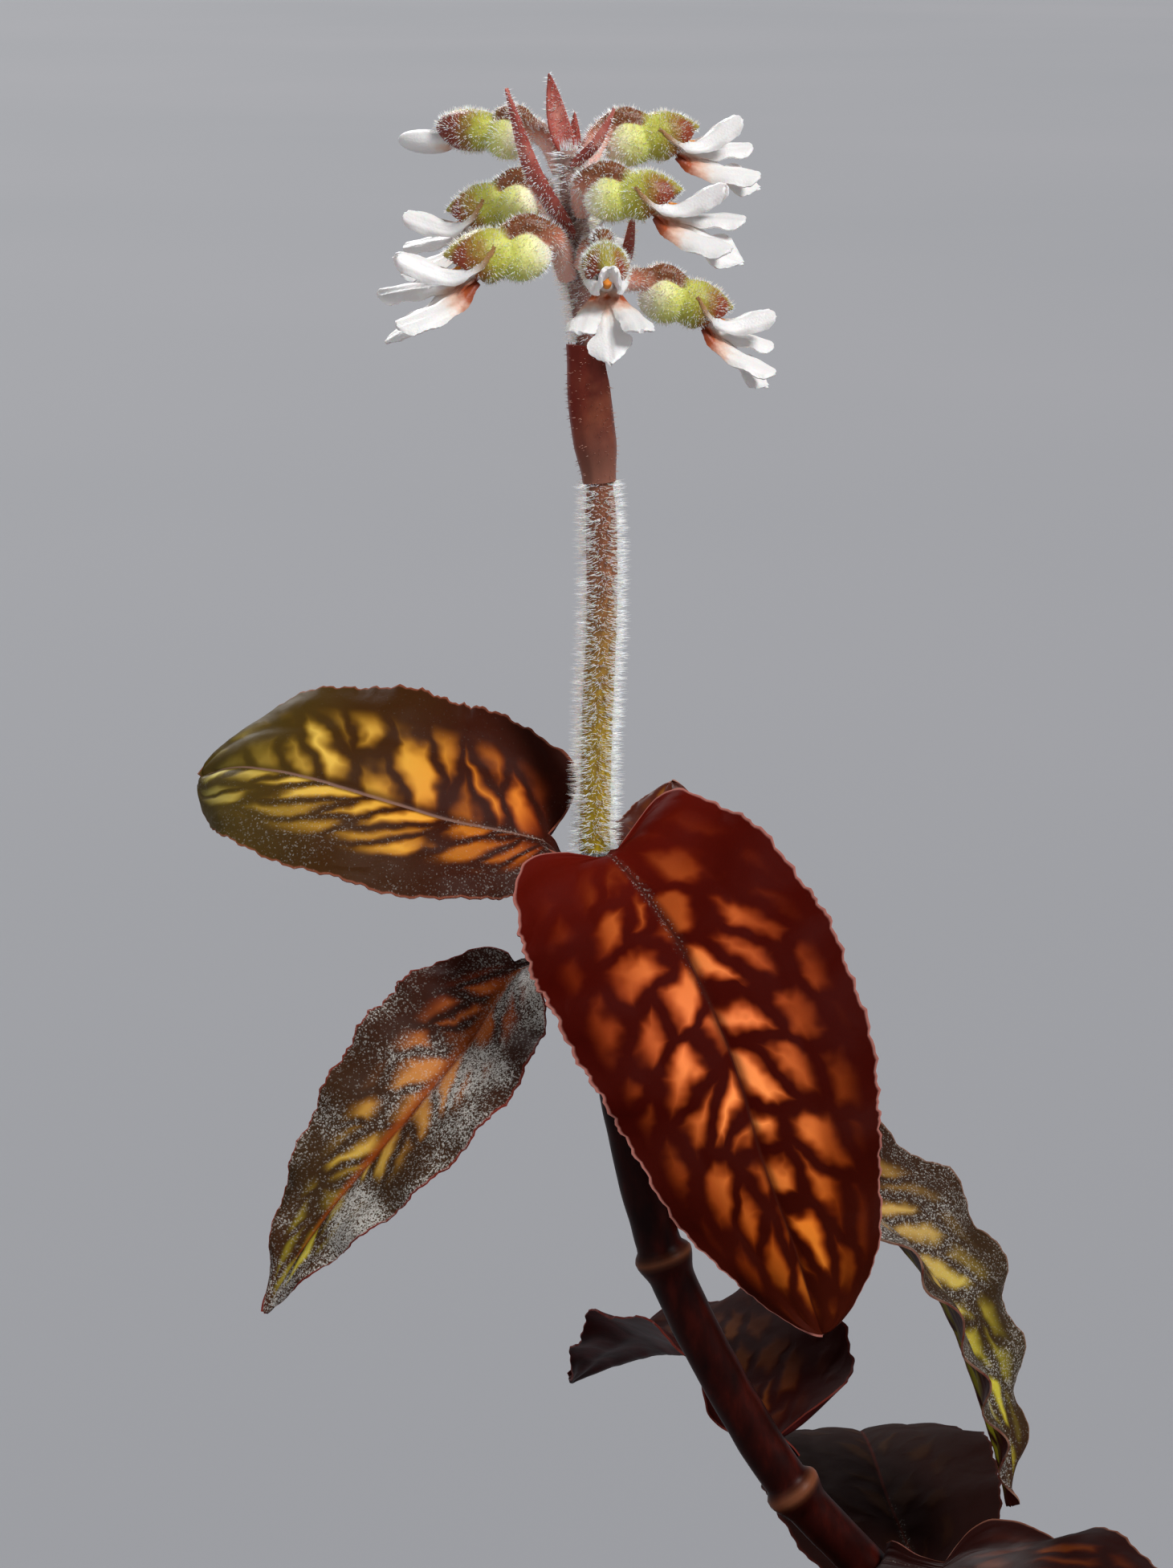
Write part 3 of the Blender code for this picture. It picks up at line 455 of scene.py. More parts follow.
stem = piece(bm, "creeping_stem", [fleshy], sharp=60.0)
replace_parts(stem, "stem")

# Leaves: soft blades about half a millimetre thick, each on a short stalk that clasps the stem at a node. The
# upper skin has light patches in a net of dark, sunken veins, with the glints and sheen of its silvery cells
# painted on; the underside is wine-red.

NODE_RISE = 1.4
CLASP_HEIGHT = 1.6
CLASP_ANGLE = 42.0
CLASP_RADIUS = STEM_RADIUS + 0.85
PETIOLE_CURL = 40.0
PETIOLE_HALF = 1.2
PETIOLE_SHARE = 0.1
LEAF_THICKNESS = 0.46
LEAF_FLESH = {"IOR": 1.42, "Subsurface_Weight": 0.08, "Subsurface_Scale": 0.5 * MM}


@dataclass
class Blade:
    """A leaf-like sheet along a spine. Pairs hold the value at its root and at its tip, or right and left."""

    spine: list
    facing: list
    half_width: tuple
    fullness: tuple
    left_fullness: tuple = ()
    fold: tuple = (0.0, 0.0)
    curl: tuple = (0.0, 0.0)
    lobe: float = 0.0
    wave: float = 0.0
    waves: float = 3.0
    teeth: int = 0
    tooth: float = 0.0
    node: str = ""
    profile: tuple = ()

    def __post_init__(self):
        self.petiole, self.petiole_right = 0.0, Vector((1, 0, 0))
        if self.node:
            mark = stem_nodes[self.node] + NODE_RISE
            start = stem_path.at(mark)
            axis = (stem_path.at(mark + 1.0) - start).normalized()
            away = Vector(self.spine[0]) - start
            away = (away - axis * away.dot(axis)).normalized()
            root = [stem_path.at(mark + rise) + away * CLASP_RADIUS for rise in (0.0, CLASP_HEIGHT)]
            self.petiole_right = away.cross(axis)
            self.spine = root + self.spine
        self.path = Path(self.spine)
        if self.node:
            self.petiole = self.path.mark(self.spine[2])

    def width(self, t, across):
        """Half-width of one side at t, from 0 at the blade's base to 1 at its tip."""
        root, tip = self.left_fullness if self.left_fullness and across < 0 else self.fullness
        widest = root / (root + tip)
        share = (t / widest) ** root * ((1 - t) / (1 - widest)) ** tip if 0 < t < 1 else 0.0
        if self.profile:
            share = float(np.interp(t, *zip(*self.profile)))
        side = abs(across)
        crenate = 1 - 0.5 * self.tooth * (0.5 + 0.5 * math.cos(2 * math.pi * self.teeth * t)) * side**6
        uneven = 3 * noise.noise((9 * t, 5 * (across > 0), 0))
        jagged = 0.5 + 0.5 * math.sin(2 * math.pi * 2.3 * self.teeth * t + uneven)
        return self.half_width[across <= 0] * share * crenate * (1 - 0.4 * self.tooth * jagged * side**12)

    def spot(self, along, across):
        """A point of the sheet, its upward direction, its place along the blade and the half-width there."""
        share = PETIOLE_SHARE if self.node else 0.0
        even = (along - share) / (1 - share)
        side = abs(across)
        lift = 0.0
        facing = Vector(self.facing[0]).normalized().lerp(Vector(self.facing[1]).normalized(), max(even, 0.0))
        if even < 0:
            s = along / share
            clasp = 1 - smoothstep(0.2, 0.7, s)
            half = PETIOLE_HALF + clasp * (CLASP_RADIUS * math.radians(CLASP_ANGLE) - PETIOLE_HALF)
            fold, curl = 0.0, CLASP_ANGLE * clasp + PETIOLE_CURL * (1 - clasp)
            centre, forward = self.path.at(self.petiole * s), self.path.along(self.petiole * s)
            turned = 0.5 * smoothstep(0.6, 1.0, s)
            t = even
        else:
            t = 0.5 * even + 0.25 * (1 - math.cos(math.pi * even))
            swept = self.lobe * math.sqrt(t) * (1 - t) ** 2 / 0.286
            distance = self.petiole + t * (self.path.length - self.petiole) - swept * side
            held = max(distance, self.petiole)
            forward = self.path.along(held)
            centre = self.path.at(held) + forward * (distance - held)
            half = self.width(t, across)
            fold = self.fold[0] + (self.fold[1] - self.fold[0]) * t
            curl = self.curl[0] + (self.curl[1] - self.curl[0]) * t
            turned = 1.0
            if self.node:
                settled = smoothstep(0.0, 0.15, t)
                half = max(half, PETIOLE_HALF * (1 - settled))
                fold, curl = fold * settled, curl * settled + PETIOLE_CURL * (1 - settled)
                turned = 0.5 + 0.5 * settled
            lift = self.wave * side**2 * math.sin(2 * math.pi * (self.waves * t + 0.25 * (across > 0)))
        right = forward.cross(facing).normalized() * turned + self.petiole_right * (1 - turned)
        right = (right - forward * right.dot(forward)).normalized()
        up = right.cross(forward)
        fold, curl = math.radians(fold), math.radians(curl)
        if abs(curl) < 0.02:
            reach, rise = half * side * math.cos(fold), half * side * math.sin(fold)
        else:
            bent = fold + curl * side
            reach = half * (math.sin(bent) - math.sin(fold)) / curl
            rise = half * (math.cos(fold) - math.cos(bent)) / curl
        return centre + right * math.copysign(reach, across) + up * (rise + lift), up, t, half


def sheet(blade, rows, columns, thickness, relief=None, rim=1.0):
    """The blade as a thin solid, thinner at its rim, with its UV map: U runs along it and V across it."""
    bm = bmesh.new()
    bmesh.ops.create_grid(bm, x_segments=rows, y_segments=columns, size=1.0)
    mapped = bm.loops.layers.uv.new("blade")
    weight = bm.verts.layers.deform.verify()
    chart = {}
    for vert in bm.verts:
        along, across = (vert.co.x + 1) / 2, -vert.co.y
        place, up, t, half = blade.spot(along, across)
        chart[vert] = (t, (across + 1) / 2)
        vert.co = place + up * (relief(t, across, half, place) if relief else 0.0)
        vert[weight][0] = 1 - (1 - rim) * smoothstep(0.5, 1.0, abs(across))
    for face in bm.faces:
        for loop in face.loops:
            loop[mapped].uv = chart[loop.vert]
    bmesh.ops.remove_doubles(bm, verts=bm.verts, dist=0.01)
    thing = holding(bm)
    thing.vertex_groups.new(name="thick")
    wall = thing.modifiers.new("thickness", "SOLIDIFY")
    wall.thickness, wall.offset, wall.vertex_group = thickness, 0.0, "thick"
    wall.material_offset, wall.material_offset_rim = 1, 2
    for slot in range(3):
        thing.data.materials.append(None)
    solid = bmesh.new()
    drop(applied(thing), solid)
    return solid


def leaf_relief(t, across, half, place):
    """Sunken midrib and side veins, with the skin pillowed between them."""
    side = abs(across)
    if t < 0:
        return 0.0
    midrib = -0.24 * math.exp(-((side * half / 0.5) ** 2))
    vein = -0.09 * math.exp(-(((side - 0.48) * half / 0.45) ** 2))
    pillow = 0.06 * (1 - math.cos(4 * math.pi * side))
    quilt = 0.08 * noise.noise(place * 0.55) + 0.03 * noise.noise(place * 1.5)
    return (midrib + vein + pillow + quilt) * (1 - smoothstep(0.8, 1.0, side)) * smoothstep(0.0, 0.08, t)


@dataclass
class Look:
    """A leaf's pattern: colours along it, its cells, and how much painted sparkle and sheen each half has."""

    ground: list
    patches: list
    rim: str
    cells: float
    rows: tuple = (2.4, 2.4)
    slant: tuple = (0.2, 0.2)
    fill: tuple = (0.04, 0.38)
    # How much painted sparkle and sheen lies on each half, right and left.
    painted_sparkle: tuple = (0.002, 0.002)
    margin: float = 0.75
    outer: float = 0.6
    glow: float = 1.0
    roughness: float = 0.55
    sway: float = 0.8
    shine: float = 0.08
    midrib: str = "3A120A"
    band: float = 0.024


def leaf_skin(letter, look):
    """The patterned upper skin: cells between the veins hold less pigment, so they show light."""
    name = f"variegated_leaf_skin_{letter}"
    skin = surface(name, Roughness=look.roughness, Specular_IOR_Level=look.shine, **LEAF_FLESH)
    smooth = {"interpolation_type": "SMOOTHSTEP"}
    chart = add(skin, "UVMap", uv_map="blade")
    axes = add(skin, "SeparateXYZ", {0: chart})
    along = axes.outputs[0]
    across = add(skin, "Math", {0: axes.outputs[1], 1: 2.0, 2: -1.0}, operation="MULTIPLY_ADD")
    side = add(skin, "Math", {0: across}, operation="ABSOLUTE")
    left = add(skin, "Math", {0: across, 1: 0.0}, operation="LESS_THAN")
    where = add(skin, "TexCoord").outputs["Object"]
    wobble = add(skin, "TexNoise", {"Vector": where, "Scale": 330.0, "Detail": 2.0})
    sway = add(skin, "SeparateColor", {0: wobble.outputs["Color"]})
    # Cells lie in rows along the midrib and slant towards the tip.
    stretched = add(skin, "Math", {0: along, 1: look.cells}, operation="MULTIPLY")
    slants = [-slant * look.cells for slant in look.slant]
    slant, rows, cover = (
        add(skin, "Math", {0: left, 1: pair[1] - pair[0], 2: pair[0]}, operation="MULTIPLY_ADD")
        for pair in (slants, look.rows, look.painted_sparkle)
    )
    slanted = add(skin, "Math", {0: side, 1: slant, 2: stretched}, operation="MULTIPLY_ADD")
    offset = add(skin, "Math", {0: left, 1: 7.37, 2: slanted}, operation="MULTIPLY_ADD")
    x = add(skin, "Math", {0: sway.outputs[0], 1: look.sway, 2: offset}, operation="MULTIPLY_ADD")
    level = add(skin, "Math", {0: rows, 1: side}, operation="MULTIPLY")
    y = add(skin, "Math", {0: sway.outputs[1], 1: 0.6 * look.sway, 2: level}, operation="MULTIPLY_ADD")
    cell = add(skin, "CombineXYZ", {0: x, 1: y})
    edges, tints = (
        add(
            skin, "TexVoronoi", {"Vector": cell, "Scale": 1.0, "Randomness": 0.75},
            feature=feature, voronoi_dimensions="2D",
        )
        for feature in ("DISTANCE_TO_EDGE", "F1")
    )
    tint = add(skin, "SeparateColor", {0: tints.outputs["Color"]})
    # Soft steps: what is read, where the step starts and ends, and the values before and after it.
    steps = (
        (edges, *look.fill, 0.0, 1.0),
        (tints, 0.36, 0.8, 1.0, 0.0),
        (side, look.margin - 0.14, look.margin + 0.1, 1.0, 0.0),
        (along, 0.0, 0.12, 0.0, 1.0),
        (along, 0.9, 0.99, 1.0, 0.0),
        (side, 0.28, 0.6, 1.0, look.outer),
        (side, 0.02, 0.08, 0.75, 0.0),
        (side, 0.25 * look.band, look.band, 0.7, 0.0),
        (along, 0.1, 0.42, 0.3, 0.0),
        (side, 0.965, 0.99, 0.0, 0.5),
    )
    edge, rounded, inner, based, ended, outward, near, midrib, foot, lit = (
        add(skin, "MapRange", dict(enumerate(step)), **smooth) for step in steps
    )
    patch = add(skin, "Math", {0: edge, 1: rounded}, operation="MULTIPLY")
    bright = add(skin, "MapRange", {0: tint, 3: 0.35 * look.glow, 4: look.glow})
    share = patch
    for limit in (inner, outward, based, ended):
        share = add(skin, "Math", {0: share, 1: limit}, operation="MULTIPLY")
    share = add(skin, "Math", {0: share, 1: bright}, operation="MULTIPLY", use_clamp=True)
    dark = add(skin, "ValToRGB", {"Fac": along}, stops=look.ground)
    light = add(skin, "ValToRGB", {"Fac": along}, stops=look.patches)
    # Light spreads under the skin round a patch, so a patch is deeper and redder towards its edge.
    deep = add(skin, "Gamma", {"Color": light, "Gamma": 1.7})
    light = add(skin, "Mix", {0: share, 6: deep, 7: light}, data_type="RGBA")
    halo = add(skin, "Math", {0: share, 1: 1.15}, operation="MULTIPLY", use_clamp=True)
    colour = add(skin, "Mix", {0: halo, 6: dark, 7: light}, data_type="RGBA")
    # The velvety skin's cells, about 0.1 mm wide, glint silver where light grazes them: painted sparkle as
    # pale grains, and painted sheen as a grey veil over the leaf's colour. They lie in drifts, and along the
    # foot of the midrib.
    grains = add(skin, "TexVoronoi", {"Vector": where, "Scale": 9000.0})
    grain = add(skin, "SeparateColor", {0: grains.outputs["Color"]})
    drifts = add(skin, "TexNoise", {"Vector": where, "Scale": 160.0, "Detail": 3.0})
    drift = add(skin, "MapRange", {0: drifts, 1: 0.36, 2: 0.62, 3: 0.35, 4: 1.3}, **smooth)
    cover = add(skin, "Math", {0: cover, 1: drift}, operation="MULTIPLY")
    midrib_sparkle = add(skin, "Math", {0: foot, 1: near}, operation="MULTIPLY")
    cover = add(skin, "Math", {0: cover, 1: midrib_sparkle}, operation="ADD")
    bare = add(skin, "Math", {0: share, 1: midrib}, operation="MAXIMUM")
    bare = add(skin, "Math", {0: bare, 1: -0.6, 2: 1.0}, operation="MULTIPLY_ADD")
    cover = add(skin, "Math", {0: cover, 1: bare}, operation="MULTIPLY")
    painted_sheen = add(skin, "Math", {0: cover, 1: 0.35}, operation="MULTIPLY", use_clamp=True)
    painted_sparkle = add(skin, "Math", {0: cover, 1: grain}, operation="SUBTRACT")
    painted_sparkle = add(skin, "MapRange", {0: painted_sparkle, 1: 0.0, 2: 0.5, 3: 0.0, 4: 0.75})
    layers = ((near, dark), (midrib, look.midrib), (painted_sheen, "5A4E42"), (painted_sparkle, "C8C4BC"), (lit, look.rim))
    for amount, layer in layers:
        colour = add(skin, "Mix", {0: amount, 6: colour, 7: layer}, data_type="RGBA")
    pores = add(skin, "TexNoise", {"Vector": where, "Scale": 3500.0, "Detail": 2.0})
    swell = add(skin, "Math", {0: pores, 1: 0.25, 2: patch}, operation="MULTIPLY_ADD")
    bump = add(skin, "Bump", {"Height": swell, "Strength": 0.5, "Distance": 0.12 * MM})
    feed(skin, Base_Color=colour, Normal=bump)
    return skin


def plain_skin(name, stops, roughness=0.5, scale=420.0):
    """Skin without a pattern: a soft mottle, and fine pores in its relief."""
    return mottled(
        name, (scale, 5.0), stops, ((3200.0, 2.0), 0.3, 0.06), Roughness=roughness, Specular_IOR_Level=0.15,
        **LEAF_FLESH,
    )


LEAVES = {
    "a": (
        Blade(
            node="fifth",
            spine=[
                (-38.6, -0.4, 169.8), (-46.8, -2.2, 172.3), (-53.5, -3.0, 174.6), (-60.0, -2.6, 176.4),
                (-65.0, -0.6, 176.6), (-68.3, 2.4, 175.2),
            ],
            facing=[(0.12, -0.7, 0.7), (-0.3, -0.65, 0.7)], half_width=(12.6, 8.8), fullness=(0.36, 0.58),
            left_fullness=(0.5, 0.45), fold=(12, 4), curl=(-12, -30), lobe=3.0, wave=0.4, waves=4, teeth=16,
            tooth=0.05,
        ),
        Look(
            ground=[(0.0, "320B02"), (0.3, "341003"), (0.6, "3C2206"), (0.85, "4C3C14")],
            patches=[(0.0, "C85E20"), (0.25, "EC9A30"), (0.5, "E4B044"), (0.75, "D8B854"), (0.95, "CCC070")],
            rim="A05A44", cells=9.0, rows=(1.25, 2.2), slant=(0.2, 0.46), painted_sparkle=(0.02, 0.14), margin=0.62,
            outer=0.9, midrib="8A685C",
        ),
    ),
    "b": (
        Blade(
            node="fourth",
            spine=[
                (-33.2, -8.0, 170.4), (-29.2, -12.0, 167.0), (-25.7, -16.0, 161.8), (-22.5, -18.5, 154.5),
                (-20.5, -20.5, 147.7), (-17.8, -21.5, 140.4), (-15.5, -22.0, 133.0),
            ],
            facing=[(0.15, -0.75, 0.6), (0.1, -0.97, 0.2)], half_width=(12.8, 12.6), fullness=(0.33, 0.72),
            left_fullness=(0.35, 0.54), fold=(10, 4), curl=(-14, -16), lobe=4.0, wave=0.5, waves=6, teeth=20,
            tooth=0.045,
        ),
        # Leaf B's patches are painted brightest in the middle of the leaf and dimmer outwards: their own
        # orange with a painted glow of light shining through the leaf and a painted highlight.
        Look(
            ground=[(0.0, "580F06"), (0.2, "400702"), (0.55, "360501"), (0.85, "300701"), (1.0, "380E04")],
            patches=[
                (0.0, "9A441C"), (0.22, "D47030"), (0.42, "FF9454"), (0.6, "FF9A50"), (0.8, "DC7A26"),
                (1.0, "A86420"),
            ],
            rim="C88478", cells=10.0, rows=(2.5, 2.5), slant=(0.22, 0.22), fill=(0.07, 0.42), margin=0.77,
            outer=0.3, roughness=0.6, sway=0.8, shine=0.03,
        ),
    ),
    "c": (
        Blade(
            node="third",
            spine=[
                (-40.4, -5.0, 159.8), (-45.0, -9.0, 154.4), (-50.5, -12.5, 148.4), (-55.5, -14.0, 142.6),
                (-58.5, -14.5, 138.6), (-62.2, -15.0, 132.6),
            ],
            facing=[(-0.37, -0.8, 0.5), (-0.4, -0.86, 0.3)], half_width=(8.4, 8.3), fullness=(0.42, 1.0),
            fold=(26, 30), curl=(-8, -20), wave=0.55, waves=6, teeth=18, tooth=0.06,
        ),
        Look(
            ground=[(0.0, "320C05"), (0.3, "301408"), (0.7, "36220C"), (1.0, "3C1A08")],
            patches=[(0.0, "D8641C"), (0.35, "D08C48"), (0.6, "CCA848"), (0.8, "C8B840"), (1.0, "B8A840")],
            rim="8A3226", cells=10.0, rows=(1.7, 1.7), painted_sparkle=(0.36, 0.66), margin=0.55, midrib="A04A18",
            band=0.13,
        ),
    ),
    "d": (
        Blade(
            node="middle",
            spine=[
                (-20.0, 6.0, 137.5), (-13.0, 8.0, 136.0), (-7.0, 8.5, 131.4), (-2.8, 8.5, 125.6),
                (0.3, 8.5, 118.0), (2.5, 8.0, 111.0), (3.6, 7.5, 106.5),
            ],
            facing=[(0.1, -0.26, 0.96), (0.88, -0.26, 0.4)], half_width=(9.8, 9.4), fullness=(0.5, 0.85),
            fold=(30, 28), curl=(-10, -10), wave=0.8, waves=6, teeth=15, tooth=0.05,
        ),
        Look(
            ground=[(0.0, "280C04"), (0.4, "2C1808"), (0.75, "30220C"), (1.0, "30140A")],
            patches=[(0.0, "A87028"), (0.4, "C0A058"), (0.7, "C0B43A"), (1.0, "A89830")],
            rim="8A6A58", cells=11.0, rows=(1.8, 1.8), painted_sparkle=(0.4, 0.3), margin=0.66,
        ),
    ),
    "e": (
        Blade(
            node="bend",
            spine=[
                (-18.6, 5.0, 113.6), (-20.6, 11.0, 115.8), (-24.4, 18.0, 117.0), (-28.6, 25.0, 115.0),
                (-32.8, 30.0, 112.0), (-36.6, 33.0, 109.4),
            ],
            facing=[(0.35, -0.4, 0.85), (0.0, -0.1, 1.0)], half_width=(11.6, 10.5), fullness=(0.3, 0.8),
            left_fullness=(0.45, 0.8), fold=(34, 24), curl=(10, -10), wave=0.6, waves=4, teeth=13, tooth=0.05,
        ),
        # Leaf E is painted darker than its own maroon and orange, in its ground and its dimmed patches:
        # painted shade for the shadow it lies in.
        Look(
            ground=[(0.0, "240604"), (0.5, "280A07"), (1.0, "240705")],
            patches=[(0.0, "5E2A10"), (0.5, "7A4416"), (1.0, "6A3A16")], rim="5A2018", cells=12.0,
            fill=(0.02, 0.3), glow=0.8, roughness=0.8, shine=0.04,
        ),
    ),
    "f": (
        Blade(
            node="low",
            spine=[
                (-4.0, -5.5, 105.2), (0.5, -12.0, 107.8), (7.0, -18.5, 106.8), (14.0, -24.0, 101.5),
                (19.5, -28.0, 93.5),
            ],
            facing=[(0.1, -0.25, 1), (0.5, -0.4, 0.7)], half_width=(11.5, 11.5), fullness=(0.45, 0.7),
            fold=(14, 8), curl=(-10, -20), wave=0.5, waves=4, teeth=13, tooth=0.04,
        ),
        Look(
            ground=[(0.0, "220805"), (0.5, "200805"), (1.0, "2E0E08")],
            patches=[(0.0, "6A2C10"), (0.5, "A05818"), (1.0, "8A4A18")], rim="8A5A48", cells=10.0, glow=0.8,
            roughness=0.6, shine=0.08,
        ),
    ),
    "g": (
        Blade(
            node="scar",
            spine=[
                (-3.0, 9.0, 96.0), (-6.5, 18.0, 102.0), (-8.0, 28.0, 104.5), (-8.5, 38.0, 102.0),
                (-9.0, 45.0, 96.0),
            ],
            facing=[(-0.1, -0.2, 1), (0, 0.3, 1)], half_width=(11.5, 11.5), fullness=(0.45, 0.6),
            fold=(10, 6), curl=(-10, -20), wave=0.4, waves=4, teeth=12, tooth=0.04,
        ),
        # Leaf G is painted nearly black, in its ground and its dimmed patches: painted shade for the deep
        # shadow it lies in low behind the stem.
        Look(
            ground=[(0.0, "1A0A08"), (0.5, "1E0E0B"), (1.0, "220E0A")],
            patches=[(0.0, "30180E"), (0.5, "3E2614"), (1.0, "3A2012")], rim="3A1812", cells=11.0, glow=0.7,
            roughness=0.8, shine=0.04,
        ),
    ),
    "h": (
        Blade(
            node="fourth",
            spine=[(-30.6, 4.6, 167.4), (-28.8, 9.5, 167.0), (-27.8, 15.5, 167.4), (-27.2, 22.0, 170.6)],
            facing=[(0, -0.3, 1), (0, -0.6, 0.8)], half_width=(5.0, 5.0), fullness=(0.5, 0.8), fold=(16, 10),
            curl=(8, 0), wave=0.2, teeth=10, tooth=0.04,
        ),
        Look(
            ground=[(0.0, "3A140C"), (1.0, "4A1E12")], patches=[(0.0, "8A4A1C"), (1.0, "B07A2C")],
            rim="9A6A58", cells=7.0, glow=0.8,
        ),
    ),
}
# Anthocyanin makes the underside wine-red.
underside = plain_skin("wine_red_leaf_underside", [(0.3, "200605"), (0.55, "340B0B"), (0.8, "4C1614")])
# Leaf D's underside is painted with the yellow patches of its upper skin: a painted glow of light shining
# through the thin leaf.
painted_glow_through = Look(
    ground=[(0.0, "2A0C08"), (1.0, "38120C")], patches=[(0.0, "A89C1C"), (0.5, "BCB428"), (1.0, "8A8418")],
    rim="8A6A58", cells=13.0, rows=(1.6, 1.6), fill=(0.03, 0.3), margin=0.6, midrib="7A3A20",
)
undersides = {"d": leaf_skin("d_underside_painted_glow", painted_glow_through)}
for letter, (blade, look) in LEAVES.items():
    rows, columns = (190, 60) if letter == "b" else (150, 48)
    bm = sheet(blade, rows, columns, LEAF_THICKNESS, leaf_relief, rim=0.4)
    rim = plain_skin(f"leaf_margin_{letter}", [(0.3, look.rim), (0.7, "5A2018")], scale=700.0)
    skins = [leaf_skin(letter, look), undersides.get(letter, underside), rim]
    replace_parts(piece(bm, f"leaf_{letter}_blade", skins, sharp=70.0), f"leaf_{letter}")

# Flower stalk: a slim, hairy stalk that stands up from the stem's tip, yellow-green below and mauve-brown
# above, with a narrow bract under each flower.

STALK_RADIUS = 1.33
STALK_STEPS = 140
BRACT_THICKNESS = 0.42
STALK_SPINE = [
    (-34.3, 0.0, 169.2), (-34.1, 0.0, 180.0), (-33.7, 0.0, 190.8), (-33.9, 0.0, 201.0),
    (-34.7, 0.0, 208.0), (-34.8, 0.0, 213.0), (-35.8, 0.0, 221.0), (-36.5, 0.0, 229.0),
]
STALK_TAPER = [(0.0, 1.0), (0.49, 1.0), (0.53, 0.84), (0.76, 0.84), (0.86, 1.0), (1.0, 0.6)]
BRACTS = [
    ((-36.2, -0.9, 221.6), (-39.5, -3.2, 227.0), (-41.6, -1.6, 234.2), 1.2),
    ((-36.5, 0.5, 228.2), (-37.4, 1.2, 231.0), (-38.1, 0.8, 235.3), 1.05),
    ((-36.2, -0.7, 227.6), (-34.2, -1.9, 229.6), (-32.7, -1.9, 232.6), 0.6),
    ((-34.9, -0.5, 217.4), (-31.9, -1.6, 219.6), (-31.1, -2.0, 224.2), 0.9),
    ((-36.1, 0.5, 227.4), (-36.0, 2.6, 229.2), (-36.0, 3.4, 232.0), 0.65),
]

stalk_path = Path(STALK_SPINE)
shares, sizes = zip(*STALK_TAPER)
marks = [step / STALK_STEPS for step in range(STALK_STEPS + 1)]
radii = [STALK_RADIUS * float(np.interp(mark, shares, sizes)) for mark in marks]
bm = rod([stalk_path.at(mark * stalk_path.length) for mark in marks], radii, sides=9)
for vert in bm.verts:
    vert.co += vert.normal * 0.05 * noise.noise(vert.co * 0.9)
stalk_skin = surface(
    "hairy_stalk_skin", Roughness=0.5, IOR=1.42, Subsurface_Weight=0.2, Subsurface_Scale=0.8 * MM
)
where = add(stalk_skin, "TexCoord").outputs["Object"]
axes = add(stalk_skin, "SeparateXYZ", {0: where})
height = add(stalk_skin, "MapRange", {0: axes.outputs[2], 1: 169 * MM, 2: 229 * MM})
tints = [
    (0.0, "B0940C"), (0.18, "AA8C1C"), (0.4, "945E3C"), (0.6, "7E4432"), (0.76, "9A6C62"), (1.0, "B49A90"),
]
tone = add(stalk_skin, "ValToRGB", {"Fac": height}, stops=tints)
speckle = add(stalk_skin, "TexNoise", {"Vector": where, "Scale": 1400.0, "Detail": 4.0})
spots = add(stalk_skin, "MapRange", {0: speckle, 1: 0.4, 2: 0.7, 3: 0.0, 4: 0.6})
tone = add(stalk_skin, "Mix", {0: spots, 6: tone, 7: "6A3A24"}, data_type="RGBA")
bump = add(stalk_skin, "Bump", {"Height": speckle, "Strength": 0.5, "Distance": 0.1 * MM})
feed(stalk_skin, Base_Color=tone, Normal=bump)
stalk = piece(bm, "hairy_flower_stalk", [stalk_skin], sharp=60.0)
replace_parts(stalk, "flower_stalk")

bract_skin = plain_skin("pinkish_bract_skin", [(0.3, "86342C"), (0.55, "B05E54"), (0.8, "D49A8A")])
whole = bmesh.new()
for root, middle, tip, half_width in BRACTS:
    inward = (root[0] - middle[0], math.copysign(3.0, root[1] - middle[1]), 0.6)
    bract = Blade(
        spine=[root, middle, tip], facing=[inward, inward], half_width=(half_width, half_width),
        fullness=(0.4, 0.9), curl=(60, 30),
    )
    drop(holding(sheet(bract, 40, 12, BRACT_THICKNESS, rim=0.4)), whole)
bracts = piece(whole, "bracts", [bract_skin] * 3, sharp=60.0)

# Sheath: a clasping leaf wrapped round the middle of the flower stalk, closed below and open on the right
# above. It is thin, red-brown and as hairy as the stalk.

SHEATH_RADIUS = 1.78
SHEATH_SPAN = (201.2, 213.0)
SHEATH_THICKNESS = 0.36

bottom, top = (float(np.interp(z, stalk_path.spots[:, 2], stalk_path.marks)) for z in SHEATH_SPAN)
bm = bmesh.new()
bmesh.ops.create_grid(bm, x_segments=60, y_segments=72, size=1.0)
for vert in bm.verts:
    up_share, round_share = (vert.co.x + 1) / 2, vert.co.y
    distance = bottom + (top - bottom) * up_share * (1 - 0.05 * round_share**2)
    centre, axis = stalk_path.at(distance), stalk_path.along(distance)
    half_angle = math.radians(168 - 62 * smoothstep(0.35, 1.0, up_share))
    angle = math.radians(205) + round_share * half_angle
    gathered_in = 0.8 + 0.2 * smoothstep(0.0, 0.3, up_share)
    flare = SHEATH_RADIUS * (1 + 0.08 * up_share) * gathered_in + 0.02 * math.sin(9 * angle)
    across = axis.cross(Vector((0, -1, 0))).normalized()
    toward = axis.cross(across)
    vert.co = centre + flare * (math.cos(angle) * across + math.sin(angle) * toward)
bmesh.ops.recalc_face_normals(bm, faces=bm.faces)
walls = 2 * len(bm.faces)
bmesh.ops.solidify(bm, geom=bm.faces[:], thickness=SHEATH_THICKNESS)
# The rim's faces come in another order each run, and hairs follow that order, so they are sorted by place.
bm.faces.index_update()
ordered = bm.faces[:walls] + sorted(bm.faces[walls:], key=lambda face: tuple(face.calc_center_median()))
rank = {face: index for index, face in enumerate(ordered)}
bm.faces.sort(key=rank.get)
tints = [(0.3, "3A120A"), (0.5, "56221A"), (0.7, "763E2C")]
sheath_skin = plain_skin("papery_sheath_skin", tints, roughness=0.4, scale=260.0)
